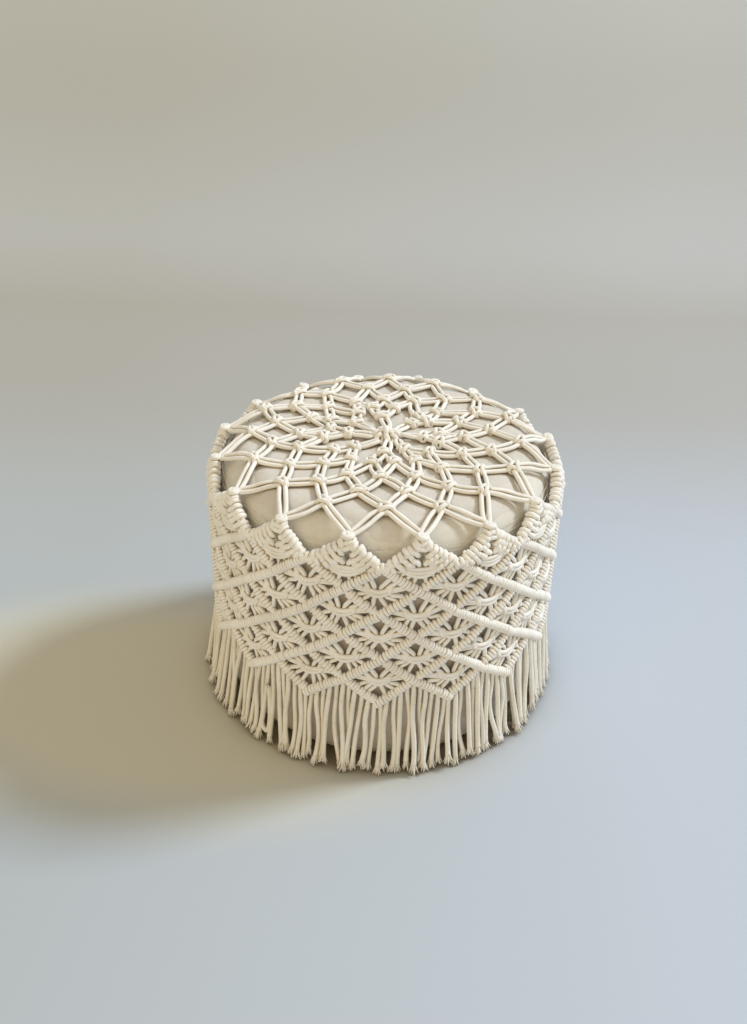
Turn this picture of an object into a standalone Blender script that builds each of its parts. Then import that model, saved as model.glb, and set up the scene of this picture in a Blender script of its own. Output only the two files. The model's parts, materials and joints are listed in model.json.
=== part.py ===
"""Round stuffed pouf in plain fabric with a slip-over knotted cord cover and a hanging fringe.

Units are metres, +Z is up and the front faces -Y.  The pouf stands on z = 0, centred on the Z axis.
"""
import math

import bmesh
import bpy

OBJECT_NAME = "macrame_pouf"
MM = 0.001

# ---- clearances ------------------------------------------------------------------------------
GAP = 0.3 * MM            # between pieces that touch on the real pouf
RUNNING_GAP = 0.5 * MM    # between pieces that move past each other
MERGE = 0.05 * MM         # welds the seams of turned and wrapped shapes

# ---- the stuffed pouf ------------------------------------------------------------------------
POUF_RADIUS = 200.5 * MM
SEAM_HEIGHT = 296 * MM    # seam between the side and the domed top
DOME_RISE = 33 * MM       # crown of the top above that seam
DOME_POWER = 6            # how flat the dome stays before its shoulder turns down
BASE_EDGE = 14 * MM       # rounding of the side panel into the base
FABRIC = 1.5 * MM         # outer fabric with its interlining
BAG_CORNER = 12 * MM      # rounding of the inner bag at its base
TURN_STEPS = 64
DOME_POINTS = 12
EDGE_POINTS = 4

# ---- base and zip ----------------------------------------------------------------------------
ZIP_END_MARGIN = 36.5 * MM  # from each end of the zip to the edge of the flat base
ZIP_SLOT = 14 * MM        # width of the opening between the base panels at the zip
ZIP_SLOT_END = 5 * MM     # how far the slot runs past each end of the tapes
TAPE_WIDTH = 16 * MM
TAPE_THICKNESS = 0.6 * MM
COIL_WIDTH = 1.3 * MM
COIL_HEIGHT = 1.8 * MM
COIL_SPLIT = 1.4 * MM     # space between the two coils, which the slider's wedge runs in
SLIDER_LENGTH = 12 * MM
SLIDER_WIDTH = 9 * MM
SLIDER_PLATE = 1.2 * MM
SLIDER_TOP_PLATE = 0.8 * MM
COIL_CLEARANCE = 0.4 * MM
WEDGE_WIDTH = 0.7 * MM
WEDGE_LENGTH = 3 * MM
LUG_LENGTH = 3.2 * MM
LUG_WIDTH = 1 * MM
PIN_RADIUS = 0.6 * MM
EYE_HOLE_RADIUS = 0.95 * MM
EYE_RADIUS = 1.6 * MM
EYE_WIDTH = 3.8 * MM
PULL_LENGTH = 14 * MM
PULL_THICKNESS = 1.2 * MM
PULL_FLOOR_GAP = 0.4 * MM
STOP_LENGTH = 3 * MM
STOP_WIDTH = 4.4 * MM
STOP_THICKNESS = 1.3 * MM

# ---- the knotted cover -----------------------------------------------------------------------
REPEATS = 16              # scallops, hem points and fringe bunches round the cover
COLUMNS_PER_REPEAT = 6
CORD = 6 * MM
SKIRT_WALL = 12 * MM
SKIRT_FIT = 2 * MM        # slack between the pouf and the inside of the skirt
VALLEY_DROP = 7 * MM      # lowest points of the top edge, below the pouf's seam
SCALLOP_HEIGHT = 29 * MM
SCALLOP_LEAN = 0.15       # how far the scallops lean in over the shoulder, per unit of height
SCALLOP_FOOT = 2 * MM     # upright strip between the sleeve and the foot of each scallop
SKIRT_ROWS = 4
HEM_TIP_HEIGHT = 102 * MM
HEM_NOTCH_HEIGHT = 133 * MM
NET_CLEARANCE = 1 * MM    # between the net's cords and the fabric
NET_RIM_INSET = 2.6 * MM  # net's outer knots inside the middle of the scallop peaks
NET_RIM_CLEARANCE = 1.3 * MM  # between the net's cords and those peaks
NET_ROWS = (0.26, 0.46, 0.66, 0.84)  # rows of knots, as shares of the way from rim to hub
HUB_RADIUS = 45 * MM
START_RING_RADIUS = 19.5 * MM
CENTRE_KNOT_RADIUS = 15.5 * MM
CENTRE_KNOT_HEIGHT = 13 * MM

# ---- the fringe ------------------------------------------------------------------------------
FRINGE_TOP = 96 * MM
FRINGE_BOTTOM = 4 * MM
FRINGE_FLARE = 13 * MM    # how far the strands spread outwards by the time they reach the floor
FRINGE_COLUMNS = 6
FRINGE_ROWS = 2

# ---- sizes that follow from those ------------------------------------------------------------
ZIP_LENGTH = 2 * (POUF_RADIUS - BASE_EDGE - ZIP_END_MARGIN)
VALLEY_HEIGHT = SEAM_HEIGHT - VALLEY_DROP
PEAK_HEIGHT = VALLEY_HEIGHT + SCALLOP_HEIGHT
NET_LIFT = CORD / 2 + NET_CLEARANCE
NET_RIM_RISE = CORD / 2 + NET_RIM_CLEARANCE

# ---- finishes --------------------------------------------------------------------------------
COTTON = dict(name="cream_cotton_cord", color=(0.80, 0.74, 0.62), roughness=0.85, metallic=0.0)
LINEN = dict(name="greige_fabric", color=(0.61, 0.53, 0.44), roughness=0.9, metallic=0.0)
CALICO = dict(name="calico_lining", color=(0.78, 0.74, 0.66), roughness=0.9, metallic=0.0)
FIBRE = dict(name="white_fibre_filling", color=(0.85, 0.84, 0.80), roughness=1.0, metallic=0.0)
NYLON = dict(name="beige_zip_nylon", color=(0.45, 0.38, 0.30), roughness=0.6, metallic=0.0)
NICKEL = dict(name="nickel_plate", color=(0.62, 0.60, 0.57), roughness=0.3, metallic=1.0)


# ---- collections, materials and objects --------------------------------------------------------
def clear_scene():
    """Remove every object that the file opened with."""
    for obj in list(bpy.data.objects):
        bpy.data.objects.remove(obj, do_unlink=True)


def make_collection(name):
    """Return a new collection linked to the scene."""
    collection = bpy.data.collections.new(name)
    bpy.context.scene.collection.children.link(collection)
    return collection


def material(finish):
    """Return the material of a finish, made once."""
    found = bpy.data.materials.get(finish["name"])
    if found:
        return found
    made = bpy.data.materials.new(finish["name"])
    made.use_nodes = True
    shader = made.node_tree.nodes["Principled BSDF"]
    shader.inputs["Base Color"].default_value = (*finish["color"], 1.0)
    shader.inputs["Roughness"].default_value = finish["roughness"]
    shader.inputs["Metallic"].default_value = finish["metallic"]
    made.diffuse_color = (*finish["color"], 1.0)
    return made


def new_object(name, data, collection, finish=None, parent=None):
    """Link an object that holds the data and give it its finish and parent."""
    obj = bpy.data.objects.new(name, data)
    collection.objects.link(obj)
    obj.parent = parent
    if finish:
        data.materials.append(material(finish))
    return obj


def mesh_from(bm, name):
    """Turn a bmesh into a mesh."""
    bmesh.ops.recalc_face_normals(bm, faces=bm.faces)
    mesh = bpy.data.meshes.new(name)
    bm.to_mesh(mesh)
    bm.free()
    return mesh


def empty(name, location, parent=None):
    """Return an empty that marks a joint's axis."""
    obj = new_object(name, None, PARTS, parent=parent)
    obj.location = location
    obj.empty_display_size = 0.02
    return obj


# ---- modelling tools ---------------------------------------------------------------------------
def box(name, low, high, collection, finish=None, parent=None):
    """Return a box between two corners."""
    bm = bmesh.new()
    bmesh.ops.create_cube(bm, size=1.0)
    for vert in bm.verts:
        vert.co = [low[i] + (vert.co[i] + 0.5) * (high[i] - low[i]) for i in range(3)]
    return new_object(name, mesh_from(bm, name), collection, finish, parent)


def rod_along_y(name, radius, width, centre, collection, segments=24, finish=None, parent=None):
    """Return a round bar that runs along Y."""
    bm = bmesh.new()
    bmesh.ops.create_cone(bm, cap_ends=True, segments=segments, radius1=radius, radius2=radius,
                          depth=width)
    obj = new_object(name, mesh_from(bm, name), collection, finish, parent)
    obj.rotation_euler = (math.pi / 2, 0, 0)
    obj.location = centre
    return obj


def boolean(obj, other, operation):
    """Add a Boolean with an object that then only serves as its cutter."""
    modifier = obj.modifiers.new(operation.title(), "BOOLEAN")
    modifier.operation = operation
    modifier.object = other
    modifier.solver = "EXACT"
    other.hide_render = True
    other.display_type = "WIRE"


def turned(name, outline, finish, parent):
    """Turn an outline of (radius, height) points round the Z axis."""
    mesh = bpy.data.meshes.new(name)
    bm = bmesh.new()
    verts = [bm.verts.new((radius, 0, height)) for radius, height in outline]
    for first, second in zip(verts, verts[1:]):
        bm.edges.new((first, second))
    bm.to_mesh(mesh)
    bm.free()
    obj = new_object(name, mesh, PARTS, finish, parent)
    screw = obj.modifiers.new("Turn", "SCREW")
    screw.angle = 2 * math.pi
    screw.steps = TURN_STEPS
    screw.render_steps = TURN_STEPS
    screw.use_merge_vertices = True
    screw.merge_threshold = MERGE
    return obj


def wrapped(name, columns, rows, place, closed, wall, finish, parent):
    """Wrap a grid into a wall: place(u, v) gives the middle of the wall for u, v from 0 to 1."""
    bm = bmesh.new()
    bmesh.ops.create_grid(bm, x_segments=columns, y_segments=rows, size=0.5)
    for vert in bm.verts:
        vert.co = place(vert.co.x + 0.5, vert.co.y + 0.5)
    if closed:
        bmesh.ops.remove_doubles(bm, verts=bm.verts, dist=MERGE)
    obj = new_object(name, mesh_from(bm, name), PARTS, finish, parent)
    solidify = obj.modifiers.new("Wall", "SOLIDIFY")
    solidify.thickness = wall
    solidify.offset = 0
    solidify.use_even_offset = True
    return obj


def polar(radius, angle, height):
    """Return the point at an angle from the front, positive towards +X."""
    return (radius * math.sin(angle), -radius * math.cos(angle), height)


# ---- outlines of the stuffed pouf ----------------------------------------------------------------
def dome_height(radius, inset=0.0):
    """Height of the domed top at a radius, on a layer that lies inset below the outer face."""
    share = min(radius / (POUF_RADIUS - inset), 1.0)
    return SEAM_HEIGHT + (DOME_RISE - inset) * math.sqrt(1 - share ** DOME_POWER)


def dome_outline(inset, start_radius=0.0):
    """Points of a dome layer from its middle out to its edge at the seam's height."""
    edge = POUF_RADIUS - inset
    points = []
    for i in range(DOME_POINTS + 1):
        # points crowd towards the shoulder, where the dome turns down
        radius = start_radius + (edge - start_radius) * math.sin(math.pi / 2 * i / DOME_POINTS)
        points.append((radius, dome_height(radius, inset)))
    return points


def corner_outline(radius, low, corner, reverse=False):
    """Quarter round from an upright wall at a radius into the level at height low."""
    points = []
    for i in range(EDGE_POINTS + 1):
        turn = math.pi / 2 * i / EDGE_POINTS
        points.append((radius - corner + corner * math.cos(turn), low + corner - corner * math.sin(turn)))
    return points[::-1] if reverse else points


def side_outline():
    """Closed outline of the side panel's wall, which curls in under the base."""
    outer = [(POUF_RADIUS, SEAM_HEIGHT - GAP), *corner_outline(POUF_RADIUS, GAP, BASE_EDGE)]
    inner = corner_outline(POUF_RADIUS - FABRIC, GAP + FABRIC, BASE_EDGE - FABRIC, reverse=True)
    return [*outer, *inner, (POUF_RADIUS - FABRIC, SEAM_HEIGHT - GAP), outer[0]]


def stuffed_outline(inset, low):
    """Outline of a full layer of the stuffing: dome, side and rounded base, axis to axis."""
    return [*dome_outline(inset), *corner_outline(POUF_RADIUS - inset, low, BAG_CORNER), (0.0, low)]


# ---- the stuffed pouf ----------------------------------------------------------------------------
def zip_levels():
    """Heights that stack up from the floor through the zip to the filling."""
    eye = PULL_FLOOR_GAP + EYE_RADIUS
    plate_low = eye + EYE_RADIUS + GAP
    plate_high = plate_low + SLIDER_PLATE
    coil_low = plate_high + COIL_CLEARANCE
    coil_high = coil_low + COIL_HEIGHT
    tape_low = (coil_low + coil_high - TAPE_THICKNESS) / 2
    tape_high = tape_low + TAPE_THICKNESS
    top_plate_low = coil_high + COIL_CLEARANCE
    top_plate_high = top_plate_low + SLIDER_TOP_PLATE
    return dict(eye=eye, plate_low=plate_low, plate_high=plate_high, coil_low=coil_low,
                coil_high=coil_high, tape_low=tape_low, tape_high=tape_high,
                top_plate_low=top_plate_low, top_plate_high=top_plate_high)


def make_pouf():
    """Filling, inner bag and the three kinds of outer panel."""
    levels = zip_levels()
    bag_inset = FABRIC + GAP
    fill_inset = bag_inset + FABRIC + GAP
    bag_low = levels["tape_high"] + GAP
    fill_low = max(bag_low + FABRIC, levels["top_plate_high"]) + GAP
    turned("filling", stuffed_outline(fill_inset, fill_low), FIBRE, None)

    bag = turned("inner_bag", stuffed_outline(bag_inset, bag_low), CALICO, None)
    shell = bag.modifiers.new("Cloth", "SOLIDIFY")
    shell.thickness = FABRIC
    shell.offset = -1
    slit_half = SLIDER_WIDTH / 2 + RUNNING_GAP
    slit_reach = ZIP_LENGTH / 2 + ZIP_SLOT_END
    slit = box("bag_slit_cutter", (-slit_reach, -slit_half, bag_low - BAG_CORNER),
               (slit_reach, slit_half, bag_low + BAG_CORNER), CUTTERS)
    boolean(bag, slit, "DIFFERENCE")

    inner = dome_outline(FABRIC)[::-1]
    turned("top_panel", [*dome_outline(0.0), *inner], LINEN, None)
    turned("side_panel", side_outline(), LINEN, None)
    base_thickness = levels["tape_low"] - GAP
    make_base_panel("base_panel_front", -1, base_thickness)
    make_base_panel("base_panel_rear", 1, base_thickness)


def make_base_panel(name, side, thickness):
    """Half of the quilted base on one side of the zip: side is -1 at the front, 1 at the rear."""
    radius = POUF_RADIUS - BASE_EDGE - GAP
    bm = bmesh.new()
    bmesh.ops.create_cone(bm, cap_ends=True, segments=TURN_STEPS, radius1=radius, radius2=radius,
                          depth=thickness)
    panel = new_object(name, mesh_from(bm, name), PARTS, LINEN)
    panel.location.z = thickness / 2
    reach = 2 * radius
    far = sorted((-side * reach, side * GAP / 2))
    other_half = box(f"{name}_half_cutter", (-reach, far[0], -reach), (reach, far[1], reach), CUTTERS)
    boolean(panel, other_half, "DIFFERENCE")
    slot_reach = ZIP_LENGTH / 2 + ZIP_SLOT_END
    slot = box(f"{name}_slot_cutter", (-slot_reach, -ZIP_SLOT / 2, -reach),
               (slot_reach, ZIP_SLOT / 2, reach), CUTTERS)
    boolean(panel, slot, "DIFFERENCE")


# ---- the zip -------------------------------------------------------------------------------------
def make_zip_tape(name, side, levels):
    """One tape with its coil, as a flat outline drawn across the zip and drawn out along X."""
    near = COIL_SPLIT / 2
    coil_edge = near + COIL_WIDTH
    outline = [(near, levels["coil_low"]), (coil_edge, levels["coil_low"]),
               (coil_edge, levels["tape_low"]), (near + TAPE_WIDTH, levels["tape_low"]),
               (near + TAPE_WIDTH, levels["tape_high"]), (coil_edge, levels["tape_high"]),
               (coil_edge, levels["coil_high"]), (near, levels["coil_high"])]
    curve = bpy.data.curves.new(name, "CURVE")
    curve.dimensions = "2D"
    curve.fill_mode = "BOTH"
    curve.extrude = ZIP_LENGTH / 2
    spline = curve.splines.new("POLY")
    spline.points.add(len(outline) - 1)
    spline.use_cyclic_u = True
    for point, (across, height) in zip(spline.points, outline):
        point.co = (side * across, height, 0, 1)
    tape = new_object(name, curve, PARTS, NYLON)
    tape.rotation_euler = (math.pi / 2, 0, math.pi / 2)


def slider_rest():
    """X of the slider's middle when the zip is closed."""
    return ZIP_LENGTH / 2 - STOP_LENGTH - GAP - RUNNING_GAP - SLIDER_LENGTH / 2


def make_zip():
    """Tapes, end stops, and the slider with its pull, closed at the +X end."""
    levels = zip_levels()
    make_zip_tape("zip_tape_front", -1, levels)
    make_zip_tape("zip_tape_rear", 1, levels)
    for name, side in (("zip_stop_left", -1), ("zip_stop_right", 1)):
        ends = sorted((side * (ZIP_LENGTH / 2 - GAP), side * (ZIP_LENGTH / 2 - GAP - STOP_LENGTH)))
        high = levels["coil_low"] - GAP
        box(name, (ends[0], -STOP_WIDTH / 2, high - STOP_THICKNESS),
            (ends[1], STOP_WIDTH / 2, high), PARTS, NICKEL)

    axis = empty("zip_slider_axis", (slider_rest(), 0, levels["eye"]))
    make_slider(axis, levels)
    make_pull(axis)


def make_slider(axis, levels):
    """Two plates joined by the wedge, with lugs and a pin that carry the pull."""
    half_length = SLIDER_LENGTH / 2
    half_width = SLIDER_WIDTH / 2

    def level(name):
        return levels[name] - levels["eye"]

    slider = box("zip_slider", (-half_length, -half_width, level("plate_low")),
                 (half_length, half_width, level("plate_high")), PARTS, NICKEL, axis)
    overlap = SLIDER_TOP_PLATE / 2
    pieces = [
        box("slider_top_plate", (-half_length, -half_width, level("top_plate_low")),
            (half_length, half_width, level("top_plate_high")), CUTTERS, None, axis),
        box("slider_wedge", (half_length - WEDGE_LENGTH, -WEDGE_WIDTH / 2, level("plate_high") - overlap),
            (half_length - overlap, WEDGE_WIDTH / 2, level("top_plate_low") + overlap),
            CUTTERS, None, axis),
        rod_along_y("slider_pin", PIN_RADIUS, EYE_WIDTH + 2 * RUNNING_GAP + LUG_WIDTH, (0, 0, 0),
                    CUTTERS, parent=axis)]
    lug_inner = EYE_WIDTH / 2 + RUNNING_GAP
    for side in (-1, 1):
        ends = sorted((side * lug_inner, side * (lug_inner + LUG_WIDTH)))
        pieces.append(box(f"slider_lug_{ends[0]:.4f}", (-LUG_LENGTH / 2, ends[0], -EYE_RADIUS + GAP),
                          (LUG_LENGTH / 2, ends[1], level("plate_low") + overlap), CUTTERS, None, axis))
    for piece in pieces:
        boolean(slider, piece, "UNION")


def make_pull(axis):
    """Pull tab with a rolled eye round the slider's pin."""
    low = -EYE_RADIUS
    pull = box("zip_pull", (-PULL_LENGTH, -EYE_WIDTH / 2, low), (0, EYE_WIDTH / 2, low + PULL_THICKNESS),
               PARTS, NICKEL, axis)
    eye = rod_along_y("pull_eye", EYE_RADIUS, EYE_WIDTH - 2 * MERGE, (0, 0, 0), CUTTERS, parent=axis)
    hole = rod_along_y("pull_hole_cutter", EYE_HOLE_RADIUS, 2 * EYE_WIDTH, (0, 0, 0), CUTTERS,
                       parent=axis)
    boolean(pull, eye, "UNION")
    boolean(pull, hole, "DIFFERENCE")


# ---- the knotted cover ---------------------------------------------------------------------------
def skirt_radius(height):
    """Middle of the skirt's wall: upright, then leaning in over the pouf's shoulder."""
    upright = POUF_RADIUS + SKIRT_FIT + SKIRT_WALL / 2
    return upright - SCALLOP_LEAN * max(height - VALLEY_HEIGHT, 0.0)


def zigzag(u, low, high):
    """Height of a zigzag with a low point at the front and REPEATS points in a full turn."""
    phase = (u * REPEATS) % 1.0
    return low + (high - low) * (1 - abs(2 * phase - 1))


def make_skirt(parent):
    """Knotted sleeve: scallops along the top and a zigzag hem, made as one wall."""
    shoulder = VALLEY_HEIGHT - SCALLOP_FOOT

    def place(u, v):
        row = round(v * SKIRT_ROWS)
        height = zigzag(u, VALLEY_HEIGHT, PEAK_HEIGHT)
        # the topmost row of the grid follows the scallops and the rest is the upright sleeve
        if row < SKIRT_ROWS:
            hem = zigzag(u, HEM_TIP_HEIGHT, HEM_NOTCH_HEIGHT)
            height = hem + (shoulder - hem) * row / (SKIRT_ROWS - 1)
        return polar(skirt_radius(height), 2 * math.pi * u, height)

    wrapped("skirt", REPEATS * COLUMNS_PER_REPEAT, SKIRT_ROWS, place, True, SKIRT_WALL, COTTON, parent)


def make_fringe_heading(parent):
    """Ring of strand tops that fills the hem's notches and ends just above the hinge line."""
    def place(u, v):
        top = zigzag(u, HEM_TIP_HEIGHT, HEM_NOTCH_HEIGHT) - 2 * RUNNING_GAP
        low = FRINGE_TOP + 2 * RUNNING_GAP
        return polar(skirt_radius(low), 2 * math.pi * u, low + (top - low) * v)

    wrapped("fringe_heading", REPEATS * COLUMNS_PER_REPEAT, 1, place, True, CORD, COTTON, parent)


def net_height(radius):
    """Height of the net's cords over the dome at a radius."""
    return dome_height(radius) + NET_LIFT


def make_top_net(parent):
    """Net of paired cords: a start ring, eight hub knots, then alternating rows of knots."""
    bm = bmesh.new()
    step = 2 * math.pi / REPEATS

    def knot(radius, slot, height=None):
        level = net_height(radius) if height is None else height
        return bm.verts.new(polar(radius, slot * step, level))

    rim_radius = skirt_radius(PEAK_HEIGHT) - NET_RIM_INSET
    rim_height = PEAK_HEIGHT + NET_RIM_RISE
    rows = [[knot(rim_radius, k + 0.5, rim_height) for k in range(REPEATS)]]
    for index, share in enumerate(NET_ROWS):
        shift = 0.5 * (index % 2)
        radius = rim_radius + share * (HUB_RADIUS - rim_radius)
        rows.append([knot(radius, k + shift) for k in range(REPEATS)])
    hub = [knot(HUB_RADIUS, 2 * j) for j in range(REPEATS // 2)]
    start = [knot(START_RING_RADIUS, 2 * j) for j in range(REPEATS // 2)]

    # rows alternate between half-step knots (even rows) and full-step knots (odd rows)
    for outer_index in range(len(rows) - 2):
        outer, middle, inner = rows[outer_index:outer_index + 3]
        forward = 1 if outer_index % 2 == 0 else 0
        for k in range(REPEATS):
            first = middle[(k + forward) % REPEATS]
            second = middle[(k + forward - 1) % REPEATS]
            bm.faces.new((outer[k], first, inner[k], second))
    fulls, halves = rows[-2], rows[-1]
    if (len(rows) - 1) % 2:
        raise ValueError("the innermost row must hold half-step knots")
    count = REPEATS // 2
    for j in range(count):
        before, after = halves[(2 * j - 1) % REPEATS], halves[2 * j]
        bm.faces.new((fulls[2 * j], after, hub[j], before))
        following = (j + 1) % count
        bm.faces.new((after, fulls[2 * j + 1], halves[2 * j + 1], hub[following], start[following],
                      start[j], hub[j]))
    bmesh.ops.recalc_face_normals(bm, faces=bm.faces)
    # a pair of cords runs along every edge: one cord's width inside each face
    borders = bmesh.ops.inset_individual(bm, faces=list(bm.faces), thickness=CORD,
                                         use_even_offset=True)["faces"]
    open_faces = set(bm.faces) - set(borders)
    bmesh.ops.delete(bm, geom=list(open_faces), context="FACES")
    net = new_object("top_net", mesh_from(bm, "top_net"), PARTS, COTTON, parent)
    solidify = net.modifiers.new("Cords", "SOLIDIFY")
    solidify.thickness = CORD
    solidify.offset = 0


def make_centre_knot(parent):
    """Raised knot that ties off the middle of the net."""
    bm = bmesh.new()
    bmesh.ops.create_uvsphere(bm, u_segments=24, v_segments=12, radius=1.0)
    for vert in bm.verts:
        vert.co.x *= CENTRE_KNOT_RADIUS
        vert.co.y *= CENTRE_KNOT_RADIUS
        vert.co.z *= CENTRE_KNOT_HEIGHT / 2
    knot = new_object("centre_knot", mesh_from(bm, "centre_knot"), PARTS, COTTON, parent)
    knot.location.z = dome_height(0.0) + GAP + CENTRE_KNOT_HEIGHT / 2


def make_fringe(index, parent):
    """One bunch of hanging strands, hinged on the line where its outer face meets the heading."""
    step = 2 * math.pi / REPEATS
    middle = (index + 0.5) * step
    top_radius = skirt_radius(FRINGE_TOP)
    hinge_radius = top_radius + CORD / 2
    half_span = step / 2 - math.asin(GAP / hinge_radius)

    def place(u, v):
        drop = (FRINGE_TOP - FRINGE_BOTTOM) * (1 - v)
        radius = top_radius + FRINGE_FLARE * (1 - v)
        angle = half_span * (2 * u - 1)
        x, y, _ = polar(radius, angle, 0.0)
        return (x, y + hinge_radius, -drop)

    name = f"fringe_{index + 1:02d}"
    bunch = wrapped(name, FRINGE_COLUMNS, FRINGE_ROWS, place, False, CORD, COTTON, parent)
    bunch.location = polar(hinge_radius, middle, FRINGE_TOP)
    bunch.rotation_euler = (0, 0, middle)


def make_cover():
    """Every piece of the slip-over cover, on the axis along which it lifts off."""
    axis = empty("cover_axis", (0, 0, 0))
    make_skirt(axis)
    make_fringe_heading(axis)
    make_top_net(axis)
    make_centre_knot(axis)
    for index in range(REPEATS):
        make_fringe(index, axis)


clear_scene()
PARTS = make_collection(OBJECT_NAME)
CUTTERS = make_collection("cutters")
make_pouf()
make_zip()
make_cover()
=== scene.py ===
"""Looks of a round stuffed pouf in plain fabric under a slip-over cover of knotted cotton cord.

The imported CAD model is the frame.  Each class below makes one sub-assembly on it: the fabric
pouf, its zip, the net over the top, the knotted sleeve, the fringe, and the studio round them.
Units are metres, +Z is up and the front faces -Y.
"""
import sys

import json
import logging
import math
from dataclasses import dataclass, field
from enum import Enum
from typing import Callable, Sequence

import bmesh
import bpy
import numpy as np
from mathutils import Matrix, Vector

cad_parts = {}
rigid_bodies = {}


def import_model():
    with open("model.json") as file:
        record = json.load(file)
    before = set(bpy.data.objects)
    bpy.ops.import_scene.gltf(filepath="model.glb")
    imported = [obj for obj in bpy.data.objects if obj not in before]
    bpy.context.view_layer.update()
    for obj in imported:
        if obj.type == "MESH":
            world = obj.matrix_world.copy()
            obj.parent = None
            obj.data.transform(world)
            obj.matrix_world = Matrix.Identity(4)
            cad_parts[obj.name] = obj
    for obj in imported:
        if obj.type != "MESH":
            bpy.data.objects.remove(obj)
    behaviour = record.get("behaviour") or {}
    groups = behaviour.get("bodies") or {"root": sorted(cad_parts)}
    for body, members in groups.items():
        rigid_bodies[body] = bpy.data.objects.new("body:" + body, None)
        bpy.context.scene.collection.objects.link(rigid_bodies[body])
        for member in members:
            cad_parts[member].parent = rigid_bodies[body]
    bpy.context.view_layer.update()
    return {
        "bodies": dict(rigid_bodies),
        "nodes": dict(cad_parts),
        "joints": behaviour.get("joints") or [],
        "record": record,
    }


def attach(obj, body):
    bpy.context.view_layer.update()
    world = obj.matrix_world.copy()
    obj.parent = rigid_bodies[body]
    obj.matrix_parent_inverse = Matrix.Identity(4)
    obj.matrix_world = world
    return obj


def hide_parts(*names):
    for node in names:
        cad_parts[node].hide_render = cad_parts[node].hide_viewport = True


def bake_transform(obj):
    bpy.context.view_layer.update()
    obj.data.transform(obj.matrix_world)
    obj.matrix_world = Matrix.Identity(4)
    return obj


logging.basicConfig(level=logging.INFO, format="%(message)s", stream=sys.stdout)
LOG = logging.getLogger("pouf")

MM = 0.001
TURN = 2 * math.pi
CORD_UV = "cord"
UV_LENGTH = 0.1

Point = Sequence[float]


class Body(Enum):
    """The two bodies of the frame that most pieces ride on; each bunch of fringe has its own."""

    POUF = "pouf"
    COVER = "cover"


class Slot(Enum):
    """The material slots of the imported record."""

    CORD = "cotton_cord"
    FABRIC = "plain_fabric"
    CALICO = "calico"
    FIBRE = "filling_fibre"
    NYLON = "zip_nylon"
    METAL = "nickel"


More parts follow.
